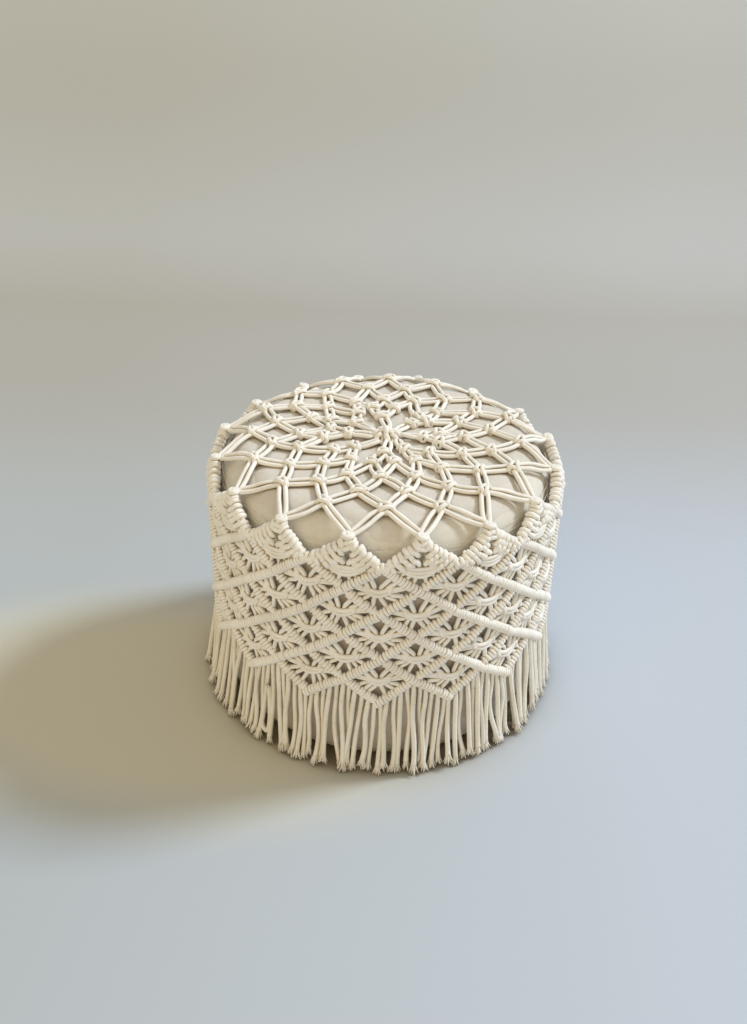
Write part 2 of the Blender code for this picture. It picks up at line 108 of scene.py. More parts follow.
# ---- finishes ----------------------------------------------------------------------------------
class NodeSheet:
    """A short way of writing a material's nodes."""

    def __init__(self, name: str) -> None:
        """Starts an empty material with a principled shader.

        Args:
            name: the material's name.
        """
        self.material = bpy.data.materials.new(name)
        self.material.use_nodes = True
        self.tree = self.material.node_tree
        self.shader = self.tree.nodes["Principled BSDF"]

    def node(self, kind: str, settings: dict | None = None, **inputs: object) -> bpy.types.Node:
        """Adds a node.

        Args:
            kind: the node's type without its ShaderNode prefix.
            settings: attributes of the node, such as a math operation.
            inputs: values or sockets for its inputs, by name with underscores for spaces.

        Returns:
            The node.
        """
        made = self.tree.nodes.new("ShaderNode" + kind)
        for key, value in (settings or {}).items():
            setattr(made, key, value)
        for key, value in inputs.items():
            self.feed(made.inputs[key.replace("_", " ")], value)
        return made

    def feed(self, socket: bpy.types.NodeSocket, value: object) -> None:
        """Links a socket to an input, or sets the input's value."""
        if isinstance(value, bpy.types.NodeSocket):
            self.tree.links.new(value, socket)
        else:
            socket.default_value = value

    def math(self, operation: str, first: object, second: object = 0.0) -> bpy.types.NodeSocket:
        """Adds a math node and returns its result."""
        made = self.tree.nodes.new("ShaderNodeMath")
        made.operation = operation
        self.feed(made.inputs[0], first)
        self.feed(made.inputs[1], second)
        return made.outputs[0]

    def noise(self, vector: object, scale: float, detail: float = 2.0) -> bpy.types.NodeSocket:
        """Adds a noise texture and returns its factor."""
        return self.node("TexNoise", Vector=vector, Scale=scale, Detail=detail).outputs["Fac"]

    def ramp(self, factor: object, stops: Sequence[tuple[float, tuple]]) -> bpy.types.NodeSocket:
        """Adds a colour ramp and returns its colour.

        Args:
            factor: what drives the ramp.
            stops: (position, colour) pairs in order.

        Returns:
            The ramp's colour socket.
        """
        made = self.node("ValToRGB", Fac=factor)
        elements = made.color_ramp.elements
        while len(elements) < len(stops):
            elements.new(1.0)
        for element, (place, colour) in zip(elements, stops):
            element.position = place
            element.color = (*colour, 1.0)
        return made.outputs["Color"]

    def paint(self, colour: object) -> None:
        """Gives the shader its base colour."""
        self.feed(self.shader.inputs["Base Color"], colour)

    def mottled(self, factor: object, colour: tuple, dimmed: float) -> None:
        """Paints a colour that a factor dims in places.

        Args:
            factor: what says where.
            colour: the colour at its lightest.
            dimmed: the share of it that is left at its darkest.
        """
        dim = tuple(dimmed * part for part in colour)
        self.paint(self.ramp(factor, [(0.3, dim), (0.7, colour)]))

    def object_place(self) -> bpy.types.NodeSocket:
        """The place on the object, in its own coordinates."""
        return self.node("TexCoord").outputs["Object"]

    def scaled(self, value: object, factor: float) -> bpy.types.NodeSocket:
        """A value times a number."""
        return self.math("MULTIPLY", value, factor)

    def share(self, value: object, start: float, end: float, eased: bool = False) -> bpy.types.NodeSocket:
        """How far a value is from a start to an end, from 0 to 1.

        Args:
            value: the value.
            start: the value that gives 0.
            end: the value that gives 1.
            eased: whether it sets off and arrives slowly.

        Returns:
            The share's socket.
        """
        way = {"interpolation_type": "SMOOTHSTEP" if eased else "LINEAR"}
        return self.node("MapRange", way, Value=value, From_Min=start, From_Max=end).outputs["Result"]

    def blended(self, share: object, first: object, second: object) -> bpy.types.NodeSocket:
        """Mixes two colours, each a socket or three numbers."""
        first, second = ((*c, 1.0) if isinstance(c, tuple) else c for c in (first, second))
        return self.node("MixRGB", Fac=share, Color1=first, Color2=second).outputs["Color"]

    def bump(self, height: object, strength: float, distance: float) -> None:
        """Adds a bump on top of the shader's present normal."""
        made = self.node("Bump", Height=height, Strength=strength, Distance=distance)
        before = self.shader.inputs["Normal"].links
        if before:
            self.feed(made.inputs["Normal"], before[0].from_socket)
        self.feed(self.shader.inputs["Normal"], made.outputs["Normal"])

    def occlusion_shaded(self, colour: bpy.types.NodeSocket, crease_shade: tuple, reach: float) -> bpy.types.NodeSocket:
        """Darkens a colour where the surface is shut in by what is near it, as painted shade.

        Args:
            colour: the colour in the open.
            crease_shade: the colour deep in the creases.
            reach: how near something has to be to shut it in.

        Returns:
            The resulting colour socket.
        """
        hollow = self.node("AmbientOcclusion", {"samples": 6}, Distance=reach).outputs["AO"]
        return self.blended(self.share(hollow, 0.15, 0.75, eased=True), crease_shade, colour)

    def constants(self, **values: object) -> None:
        """Sets the shader's plain values, by input name with underscores for spaces."""
        for key, value in values.items():
            self.shader.inputs[key.replace("_", " ")].default_value = value


@dataclass(frozen=True)
class Finish:
    """What every finish has: a name and a way to make its material once."""

    name: str

    def material(self) -> bpy.types.Material:
        """Returns the material, made the first time it is asked for."""
        return bpy.data.materials.get(self.name) or self.make()

    def make(self) -> bpy.types.Material:
        """Makes the material."""
        raise NotImplementedError


@dataclass(frozen=True)
class CottonCord(Finish):
    """Soft matt cotton cord with a faint lay of strands, a cotton bloom, and painted shade in its creases."""

    light: tuple = (0.96, 0.935, 0.89)
    shade: tuple = (0.84, 0.80, 0.73)
    # Painted shade: the colour the cord darkens to where other cords shut it in, and how near they must be.
    crease_shade: tuple = (0.53, 0.42, 0.24)
    crease_shade_reach: float = 7 * MM
    lay: float = 9 * MM
    strands: int = 3

    def make(self) -> bpy.types.Material:
        """Makes the cord's material; the lay follows the cord's own map."""
        sheet = NodeSheet(self.name)
        place = sheet.object_place()
        cord = sheet.node("UVMap", {"uv_map": CORD_UV}).outputs["UV"]
        parts = sheet.node("SeparateXYZ", Vector=cord)
        around, along = parts.outputs["X"], parts.outputs["Y"]
        turned = sheet.scaled(along, UV_LENGTH / self.lay)
        phase = sheet.math("ADD", sheet.scaled(around, float(self.strands)), turned)
        lay = sheet.math("ABSOLUTE", sheet.math("SINE", sheet.scaled(phase, math.pi)))
        cloudy = sheet.noise(place, 38.0, 3.0)
        speck = sheet.noise(place, 900.0, 2.0)
        tone = sheet.math("ADD", sheet.scaled(cloudy, 0.75), sheet.scaled(speck, 0.25))
        colour = sheet.ramp(tone, [(0.30, self.shade), (0.62, self.light)])
        # Painted shade: the tone darkens where the cord is shut in by cords near it.
        sheet.paint(sheet.occlusion_shaded(colour, self.crease_shade, self.crease_shade_reach))
        sheet.bump(lay, 0.28, 0.45 * MM)
        sheet.bump(speck, 0.35, 0.25 * MM)
        sheet.constants(Roughness=0.86, Sheen_Weight=0.22, Sheen_Roughness=0.45, Specular_IOR_Level=0.25)
        return sheet.material


@dataclass(frozen=True)
class PlainWeave(Finish):
    """Plain-woven furnishing fabric: warp and weft over and under, with slubs, and painted shade in its soft
    creases and where things lie close.
    """

    light: tuple = (0.735, 0.69, 0.625)
    shade: tuple = (0.64, 0.59, 0.52)
    # Painted shade: the colour the fabric darkens to where things near it shut it in, and how near they must
    # be.
    crease_shade: tuple = (0.36, 0.29, 0.20)
    crease_shade_reach: float = 9 * MM
    pitch: float = 0.9 * MM
    wrapped: bool = False
    radius: float = 0.2

    def make(self) -> bpy.types.Material:
        """Makes the weave; a wrapped one runs round the Z axis, a flat one lies in X and Y."""
        sheet = NodeSheet(self.name)
        place = sheet.object_place()
        axis = sheet.node("SeparateXYZ", Vector=place)
        across, along = axis.outputs["X"], axis.outputs["Y"]
        if self.wrapped:
            turn = sheet.math("ARCTAN2", axis.outputs["X"], axis.outputs["Y"])
            across, along = sheet.scaled(turn, self.radius), axis.outputs["Z"]
        warp, weft = (sheet.math("SINE", sheet.scaled(way, math.pi / self.pitch)) for way in (across, along))
        cell = sheet.math("MULTIPLY", warp, weft)
        threads = sheet.math("ADD", sheet.math("ABSOLUTE", warp), sheet.math("ABSOLUTE", weft))
        weave = sheet.math("ADD", sheet.scaled(cell, 0.5), sheet.scaled(threads, 0.35))
        slub = sheet.noise(place, 160.0, 4.0)
        cloudy = sheet.noise(place, 14.0, 3.0)
        tone = sheet.math("ADD", sheet.scaled(slub, 0.45), sheet.scaled(cloudy, 0.4))
        tone = sheet.math("ADD", tone, sheet.scaled(weave, 0.12))
        colour = sheet.ramp(tone, [(0.30, self.shade), (0.62, self.light)])
        # Painted shade: the tone darkens where the fabric is shut in, as under the cords.
        sheet.paint(sheet.occlusion_shaded(colour, self.crease_shade, self.crease_shade_reach))
        sheet.bump(weave, 0.30, 0.20 * MM)
        sheet.bump(slub, 0.18, 0.4 * MM)
        sheet.constants(Roughness=0.88, Sheen_Weight=0.25, Sheen_Roughness=0.5, Specular_IOR_Level=0.25)
        return sheet.material


@dataclass(frozen=True)
class Wadding(Finish):
    """Loose white fibre."""

    colour: tuple = (0.84, 0.83, 0.80)

    def make(self) -> bpy.types.Material:
        """Makes the fibre's material."""
        sheet = NodeSheet(self.name)
        place = sheet.object_place()
        tufts = sheet.noise(place, 60.0, 6.0)
        hairs = sheet.noise(place, 500.0, 4.0)
        sheet.mottled(tufts, self.colour, 0.85)
        sheet.bump(tufts, 0.8, 4 * MM)
        sheet.bump(hairs, 0.5, 1 * MM)
        sheet.constants(Roughness=0.95, Sheen_Weight=0.3)
        return sheet.material


@dataclass(frozen=True)
class Nylon(Finish):
    """Dyed nylon of the zip's coils, with a low shine."""

    colour: tuple = (0.42, 0.35, 0.27)

    def make(self) -> bpy.types.Material:
        """Makes the nylon's material."""
        sheet = NodeSheet(self.name)
        place = sheet.object_place()
        wear = sheet.noise(place, 220.0, 3.0)
        sheet.mottled(wear, self.colour, 0.8)
        sheet.bump(wear, 0.2, 0.1 * MM)
        sheet.constants(Roughness=0.42)
        return sheet.material


@dataclass(frozen=True)
class PlatedMetal(Finish):
    """Nickel plate with fine handling marks."""

    colour: tuple = (0.62, 0.60, 0.56)

    def make(self) -> bpy.types.Material:
        """Makes the metal's material."""
        sheet = NodeSheet(self.name)
        place = sheet.object_place()
        marks = sheet.noise(place, 700.0, 5.0)
        rough = sheet.node("MapRange", Value=marks, To_Min=0.22, To_Max=0.42).outputs["Result"]
        sheet.mottled(marks, self.colour, 0.82)
        sheet.feed(sheet.shader.inputs["Roughness"], rough)
        sheet.bump(marks, 0.08, 0.05 * MM)
        sheet.constants(Metallic=1.0)
        return sheet.material


@dataclass(frozen=True)
class StudioPaper(Finish):
    """Seamless paper: a cool floor, a warmer wall and a darker bend between them, with light and shade
    painted on: the floor is painted darker and warmer towards the left, away from the window, the bend
    and wall are tinted lighter towards the right, a warm shadow is painted on the floor at the left,
    and shade is painted close to the pouf.

    The places are in metres: across the paper for the ends, and back from the pouf for the bend
    and the wall.
    """

    # Painted light: the floor's tone across it, darker and warmer at the left end, away from the window.
    floor_left: tuple = (0.455, 0.490, 0.510)
    floor_right: tuple = (0.545, 0.600, 0.690)
    left_end: float = -0.45
    right_end: float = 0.35
    bend: tuple = (0.425, 0.415, 0.385)
    wall: tuple = (0.66, 0.71, 0.76)
    # Painted light: how much lighter and cooler the bend and wall are tinted at the right than at the left.
    far_tint: tuple = (1.11, 1.14, 1.23)
    far_left: float = -0.60
    far_right: float = 0.65
    bend_from: float = 0.15
    bend_to: float = 0.85
    wall_from: float = 1.15
    wall_to: float = 1.78
    # Painted shadow: the warm colour, place, size and soft edge of a shadow painted on the floor at the left.
    painted_shadow: tuple = (0.64, 0.605, 0.485)
    painted_shadow_at: tuple = (-0.25, -0.10, 0.0)
    painted_shadow_size: tuple = (0.50, 0.27, 1.0)
    painted_shadow_fade: float = 0.45
    # Painted shade: the colour the paper darkens to where the pouf shuts it in, and how near that must be.
    crease_shade: tuple = (0.19, 0.15, 0.09)
    crease_shade_reach: float = 0.12

    def make(self) -> bpy.types.Material:
        """Makes the paper's material."""
        sheet = NodeSheet(self.name)
        place = sheet.object_place()
        axis = sheet.node("SeparateXYZ", Vector=place)
        # Painted light: the floor is painted darker and warmer towards the left, away from the window.
        across = sheet.share(axis.outputs["X"], self.left_end, self.right_end)
        floor = sheet.blended(across, self.floor_left, self.floor_right)
        # Painted shadow: the floor turns warm where the pouf's shadow falls to the left.
        floor = sheet.blended(self.painted_shadow_share(sheet, place), floor, self.painted_shadow)
        grain = sheet.noise(place, 3.0, 2.0)
        depth = sheet.math("ADD", axis.outputs["Y"], sheet.scaled(grain, 0.02))
        far = sheet.blended(sheet.share(depth, self.wall_from, self.wall_to), self.bend, self.wall)
        # Painted light: the far part is tinted lighter and cooler towards the right, the window's side.
        far_across = sheet.share(axis.outputs["X"], self.far_left, self.far_right)
        tint = sheet.blended(far_across, (1.0, 1.0, 1.0), self.far_tint)
        far = sheet.node("MixRGB", {"blend_type": "MULTIPLY"}, Fac=1.0, Color1=far, Color2=tint)
        back = sheet.share(depth, self.bend_from, self.bend_to, eased=True)
        colour = sheet.blended(back, floor, far.outputs["Color"])
        # Painted shade: darker where the pouf stands close over the floor.
        sheet.paint(sheet.occlusion_shaded(colour, self.crease_shade, self.crease_shade_reach))
        sheet.constants(Roughness=0.95, Specular_IOR_Level=0.1)
        return sheet.material

    def painted_shadow_share(self, sheet: NodeSheet, place: bpy.types.NodeSocket) -> bpy.types.NodeSocket:
        """How much of the painted warm shadow lies at a place, from 0 outside it to 1 in its middle."""
        for operation, second in (("SUBTRACT", self.painted_shadow_at), ("DIVIDE", self.painted_shadow_size)):
            step = sheet.node("VectorMath", {"operation": operation})
            sheet.feed(step.inputs[0], place)
            step.inputs[1].default_value = second
            place = step.outputs[0]
        reach = sheet.node("VectorMath", {"operation": "LENGTH"})
        sheet.feed(reach.inputs[0], place)
        return sheet.share(reach.outputs["Value"], 1.0, self.painted_shadow_fade, eased=True)


CORD = CottonCord("cream_cotton_cord_looks")
# Painted shade: a darker copy of the cord for the fringe strands and their tops, for the shade that they hang
# in.
SHADED_HANGING_CORD = CottonCord("hanging_cord_painted_shade_looks", light=(0.90, 0.865, 0.79), shade=(0.78, 0.735, 0.63))
# Painted light: the frayed tips are painted lighter than the hanging strands that they fray from.
COMBED = CottonCord("combed_cotton_tips", light=(0.93, 0.905, 0.855), shade=(0.88, 0.845, 0.78), lay=30 * MM)
FLAT_WEAVE = PlainWeave("greige_weave_flat")
# Painted light: the side panel's copy of the weave is painted lighter and pinker than the top's, for how the
# side is lit.
ROUND_WEAVE = PlainWeave("greige_weave_round", light=(0.80, 0.73, 0.66), shade=(0.70, 0.63, 0.56),
                         wrapped=True)
CALICO = PlainWeave("calico_weave", light=(0.78, 0.74, 0.66), shade=(0.68, 0.64, 0.56), wrapped=True)
STITCH = CottonCord("seam_thread", light=(0.80, 0.75, 0.67), shade=(0.68, 0.62, 0.53), lay=0.8 * MM)
FIBRE = Wadding("white_fibre_looks")
NYLON = Nylon("beige_nylon_looks")
TAPE = PlainWeave("zip_tape_weave", light=(0.46, 0.39, 0.31), shade=(0.37, 0.31, 0.24), pitch=0.5 * MM)
NICKEL = PlatedMetal("nickel_looks")
PAPER = StudioPaper("studio_paper")


# ---- shapes that every class shares -------------------------------------------------------------
def polar(radius: float, angle: float, height: float) -> np.ndarray:
    """Point at an angle from the front, measured towards +X."""
    return np.array((radius * math.sin(angle), -radius * math.cos(angle), height))


@dataclass(frozen=True)
class PoufForm:
    """The outer shape of the stuffed pouf and of the cover round it.

    The valleys and peaks are those of the scallops, and the tips and notches those of the hem.
    Above the valleys the sleeve draws in by its lean for each metre of height.
    """

    radius: float = 200.5 * MM
    crown: float = 329 * MM
    crown_fall: float = 2 * MM
    shoulder: float = 42 * MM
    base_edge: float = 14 * MM
    sleeve: float = 208.5 * MM
    valley: float = 289 * MM
    lean: float = 0.26
    peak: float = 314.2 * MM
    peak_sway: float = 3.6 * MM
    tip: float = 102 * MM
    notch: float = 133 * MM
    repeats: int = 16

    @property
    def step(self) -> float:
        """Angle of one repeat of the cover."""
        return TURN / self.repeats

    @property
    def flat(self) -> float:
        """Radius at which the top starts to turn down into its shoulder."""
        return self.radius - self.shoulder

    @property
    def shoulder_foot(self) -> float:
        """Height at which the shoulder has become the upright side."""
        return self.crown - self.crown_fall - self.shoulder

    def dome(self, radius: float) -> float:
        """Height of the fabric top at a radius."""
        if radius <= self.flat:
            return self.crown - self.crown_fall * (radius / self.flat) ** 2
        out = min(radius - self.flat, self.shoulder)
        return self.shoulder_foot + math.sqrt(self.shoulder ** 2 - out ** 2)

    def sleeve_radius(self, height: float) -> float:
        """Radius of the middle of the knotted sleeve at a height."""
        return self.sleeve - self.lean * max(height - self.valley, 0.0)

    def on_sleeve(self, angle: float, height: float, out: float = 0.0) -> np.ndarray:
        """Point on the sleeve, or a little outside or inside it."""
        return polar(self.sleeve_radius(height) + out, angle, height)

    def peak_at(self, angle: float) -> float:
        """Height of a scallop's peak; the cover is pulled up a little at the front."""
        return self.peak + self.peak_sway * math.cos(angle)

    def hem(self, angle: float) -> float:
        """Height of the zigzag hem at an angle."""
        share = (angle / self.step) % 1.0
        return self.tip + (self.notch - self.tip) * (1.0 - abs(2.0 * share - 1.0))


FORM = PoufForm()


def hand_pull(points: np.ndarray) -> np.ndarray:
    """Moves points as uneven handwork would, by slow waves round and up the cover.

    Args:
        points: (..., 3).

    Returns:
        The moved points.
    """
    x, y, z = points[..., 0], points[..., 1], points[..., 2]
    angle = np.arctan2(x, -y)
    radius = np.hypot(x, y)
    # Nothing moves near the floor, and the edge of scallops is drawn aside a little by the front.
    firm = np.clip((z - 0.09) / 0.04, 0.0, 1.0)
    top = np.clip((z - 0.265) / 0.04, 0.0, 1.0) * np.clip((radius - 0.17) / 0.02, 0.0, 1.0)
    slide = (1.1 * np.sin(5 * angle + 19 * z) + 0.9 * np.sin(11 * angle - 37 * z + 1.7)) * MM
    slide = slide * firm + 4.2 * MM * top * np.exp(-((angle + 0.2) / 0.45) ** 2)
    rise = (0.9 * np.sin(4 * angle + 2.1) + 0.8 * np.sin(9 * angle + 41 * z)) * MM * firm
    turn = slide / np.maximum(radius, 0.05)
    return np.stack((radius * np.sin(angle + turn), -radius * np.cos(angle + turn), z + rise), -1)


def smooth_path(points: Sequence[Point], count: int) -> np.ndarray:
    """Runs a smooth curve through points.

    Args:
        points: the points it passes.
        count: how many even steps it is cut into.

    Returns:
        An array of count + 1 points.
    """
    knots = np.asarray(points, float)
    padded = np.vstack((2 * knots[0] - knots[1], knots, 2 * knots[-1] - knots[-2]))
    t = np.linspace(0.0, 1.0, 9)[:-1][:, None]
    dense = []
    for k in range(len(knots) - 1):
        a, b, c, d = padded[k:k + 4]
        dense.append(0.5 * (2 * b + (c - a) * t + (2 * a - 5 * b + 4 * c - d) * t ** 2
                            + (3 * b - a - 3 * c + d) * t ** 3))
    dense = np.vstack((*dense, knots[-1:]))
    travel = np.concatenate(([0.0], np.cumsum(np.linalg.norm(np.diff(dense, axis=0), axis=1))))
    even = np.linspace(0.0, travel[-1], count + 1)
    return np.stack([np.interp(even, travel, dense[:, k]) for k in range(3)], 1)


def unit(vector: Point) -> np.ndarray:
    """The vector at length one."""
    vector = np.asarray(vector, float)
    return vector / max(np.linalg.norm(vector), 1e-12)


@dataclass
class CordWork:
    """Gathers many lengths of cord and turns them into one mesh.

    Cords that are pulled get the slow shifts of handwork on their way in.
    """

    radius: float = 3 * MM
    sides: int = 8
    pulled: bool = True
    open_runs: dict = field(default_factory=dict)
    loops: dict = field(default_factory=dict)

    def run(self, points: Sequence[Point], thick: float | Sequence[float] = 1.0,
            spacing: float = 4 * MM) -> None:
        """Lays a length of cord with rounded ends.

        Args:
            points: the points it passes.
            thick: its thickness as a share of the cord's, or one share for each point in points.
            spacing: about how far apart its rings are.
        """
        knots = np.asarray(points, float)
        length = float(np.linalg.norm(np.diff(knots, axis=0), axis=1).sum())
        count = max(4, 2 * round(length / spacing / 2))
        path = smooth_path(hand_pull(knots) if self.pulled else knots, count)
        shares = np.atleast_1d(np.asarray(thick, float))
        if len(shares) > 1:
            shares = np.interp(np.linspace(0, 1, count + 1), np.linspace(0, 1, len(shares)), shares)
        self.open_runs.setdefault(count + 1, []).append((path, self.radius * shares * np.ones(count + 1)))

    def wrap(self, centre: Point, axis: Point, out: Point, across: float, deep: float,
             thick: float = 1.0, steps: int = 12) -> None:
        """Wraps one closed turn of cord round an axis.

        Args:
            centre: the middle of the turn.
            axis: the direction that it goes round.
            out: the direction in which the turn is deep.
            across: half its width, to the middle of the cord.
            deep: half its depth, likewise.
            thick: the cord's thickness as a share of the usual.
            steps: how many rings it has.
        """
        axis = unit(axis)
        out = unit(np.asarray(out, float) - axis * float(np.dot(out, axis)))
        side = np.cross(axis, out)
        turn = np.linspace(0.0, TURN, steps, endpoint=False)[:, None]
        middle = np.asarray(centre, float)
        if self.pulled:
            middle = hand_pull(middle)
        path = middle + across * np.sin(turn) * side + deep * np.cos(turn) * out
        self.loops.setdefault(steps, []).append((path, np.full(steps, self.radius * thick), axis))

    def mesh_object(self, name: str, finish: Finish = CORD, slot: Slot = Slot.CORD) -> bpy.types.Object:
        """Turns the cords into a mesh object.

        Args:
            name: the object's name.
            finish: its finish.
            slot: the record's slot; not used.

        Returns:
            The object, linked to the scene.
        """
        verts: list[np.ndarray] = []
        quads: list[np.ndarray] = []
        tris: list[np.ndarray] = []
        quad_maps: list[np.ndarray] = []
        tri_maps: list[np.ndarray] = []
        offset = 0
        for count, group in sorted(self.open_runs.items()):
            paths = np.stack([p for p, _ in group])
            radii = np.stack([r for _, r in group])
            rings, travel, tangents = self.rings(paths, radii, None)
            total = len(group) * count * self.sides
            index = offset + np.arange(total).reshape(len(group), count, self.sides)
            verts.append(rings.reshape(-1, 3))
            faces, maps = self.skin(index, travel, False)
            quads.append(faces)
            quad_maps.append(maps)
            poles = np.concatenate((paths[:, 0] - tangents[:, 0] * radii[:, :1] * 0.5,
                                    paths[:, -1] + tangents[:, -1] * radii[:, -1:] * 0.5))
            verts.append(poles)
            first = offset + total + np.arange(len(group))
            for pole, ring, flip in ((first, index[:, 0], True), (first + len(group), index[:, -1], False)):
                cap = np.stack((ring, np.roll(ring, -1, 1), np.repeat(pole[:, None], self.sides, 1)), 2)
                tris.append((cap[:, :, ::-1] if flip else cap).reshape(-1, 3))
                tri_maps.append(np.zeros((len(group) * self.sides * 3, 2)))
            offset += total + 2 * len(group)
        for count, group in sorted(self.loops.items()):
            paths = np.stack([p for p, _, _ in group])
            radii = np.stack([r for _, r, _ in group])
            rings, travel, _ = self.rings(paths, radii, np.stack([a for _, _, a in group]))
            total = len(group) * count * self.sides
            index = offset + np.arange(total).reshape(len(group), count, self.sides)
            verts.append(rings.reshape(-1, 3))
            faces, maps = self.skin(index, travel, True)
            quads.append(faces)
            quad_maps.append(maps)
            offset += total
        faces = np.vstack(quads).tolist()
        if tris:
            faces += np.vstack(tris).tolist()
        mesh = bpy.data.meshes.new(name)
        mesh.from_pydata(np.vstack(verts).tolist(), [], faces)
        layer = mesh.uv_layers.new(name=CORD_UV)
        layer.uv.foreach_set("vector", np.vstack(quad_maps + tri_maps).astype(np.float32).ravel())
        mesh.polygons.foreach_set("use_smooth", np.ones(len(faces), bool))
        mesh.update()
        return show(name, mesh, finish)

    def rings(self, paths: np.ndarray, radii: np.ndarray, ups: np.ndarray | None) -> tuple:
        """Rings of points round each path.

        Args:
            paths: (cords, points, 3).
            radii: (cords, points).
            ups: the axis of each closed turn, or None for open cords.

        Returns:
            The rings (cords, points, sides, 3), the travel along each cord and its tangents.
        """
        if ups is None:
            tangents = np.gradient(paths, axis=1)
        else:
            tangents = np.roll(paths, -1, 1) - np.roll(paths, 1, 1)
        tangents /= np.maximum(np.linalg.norm(tangents, axis=2, keepdims=True), 1e-12)
        normals = np.empty_like(paths)
        if ups is None:
            seed = np.where(np.abs(tangents[:, 0, 2:3]) < 0.8, (0.0, 0.0, 1.0), (1.0, 0.0, 0.0))
        else:
            seed = ups
        for k in range(paths.shape[1]):
            seed = seed - tangents[:, k] * np.sum(seed * tangents[:, k], 1, keepdims=True)
            seed = seed / np.maximum(np.linalg.norm(seed, axis=1, keepdims=True), 1e-12)
            normals[:, k] = seed
        sides = np.cross(tangents, normals)
        turn = np.linspace(0.0, TURN, self.sides, endpoint=False)
        rings = paths[:, :, None] + radii[:, :, None, None] * (
            np.cos(turn)[:, None] * normals[:, :, None] + np.sin(turn)[:, None] * sides[:, :, None])
        steps = np.linalg.norm(np.diff(paths, axis=1), axis=2)
        travel = np.concatenate((np.zeros((len(paths), 1)), np.cumsum(steps, axis=1)), axis=1)
        return rings, travel, tangents

    def skin(self, index: np.ndarray, travel: np.ndarray, closed: bool) -> tuple:
        """Quads over the rings, and their map.

        Args:
            index: the rings' point numbers (cords, points, sides).
            travel: the distance along each cord.
            closed: whether each cord's last ring joins its first.

        Returns:
            The quads and one map point for each of their corners.
        """
        after = np.roll(index, -1, 1) if closed else index[:, 1:]
        before = index if closed else index[:, :-1]
        if closed:
            travel = np.concatenate((travel, 2 * travel[:, -1:] - travel[:, -2:-1]), axis=1)
        quads = np.stack((before, np.roll(before, -1, 2), np.roll(after, -1, 2), after), 3)
        low, high = travel[:, :-1] / UV_LENGTH, travel[:, 1:] / UV_LENGTH
        around = np.arange(self.sides) / self.sides
        shape = quads.shape[:3]
        left = np.broadcast_to(around, shape)
        right = left + 1.0 / self.sides
        low = np.broadcast_to(low[:, :, None], shape)
        high = np.broadcast_to(high[:, :, None], shape)
        maps = np.stack((np.stack((left, low), 3), np.stack((right, low), 3),
                         np.stack((right, high), 3), np.stack((left, high), 3)), 3)
        return quads.reshape(-1, 4), maps.reshape(-1, 2)


def show(name: str, mesh: bpy.types.Mesh, finish: Finish) -> bpy.types.Object:
    """Links a mesh to the scene with its finish.

    Args:
        name: the object's name.
        mesh: its mesh.
        finish: its finish.

    Returns:
        The object.
    """
    made = bpy.data.objects.new(name, mesh)
    bpy.context.scene.collection.objects.link(made)
    mesh.materials.clear()
    mesh.materials.append(finish.material())
    return made


def mesh_of(bm: bmesh.types.BMesh, name: str, facing: bool = False, smooth: bool = True) -> bpy.types.Mesh:
    """Turns an editable mesh into a plain one, and frees it.

    Args:
        bm: the editable mesh.
        name: the new mesh's name.
        facing: whether its faces are first turned outwards.
        smooth: whether it is shaded smooth.

    Returns:
        The mesh.
    """
    if facing:
        bmesh.ops.recalc_face_normals(bm, faces=bm.faces)
    mesh = bpy.data.meshes.new(name)
    bm.to_mesh(mesh)
    bm.free()
    mesh.polygons.foreach_set("use_smooth", np.full(len(mesh.polygons), smooth))
    return mesh


def thicken(piece: bpy.types.Object, cloth: float) -> None:
    """Gives a sheet of cloth its thickness, on its inner side."""
    thick = piece.modifiers.new("cloth", "SOLIDIFY")
    thick.thickness = cloth
    thick.offset = -1.0


def outward_at(point: np.ndarray) -> np.ndarray:
    """The level direction from the pouf's axis to a point."""
    return unit((point[0], point[1], 0.0))


def dress(node: bpy.types.Object, finish: Finish) -> None:
    """Gives a CAD node a finish in its own material slots."""
    for holder in node.material_slots:
        holder.material = finish.material()


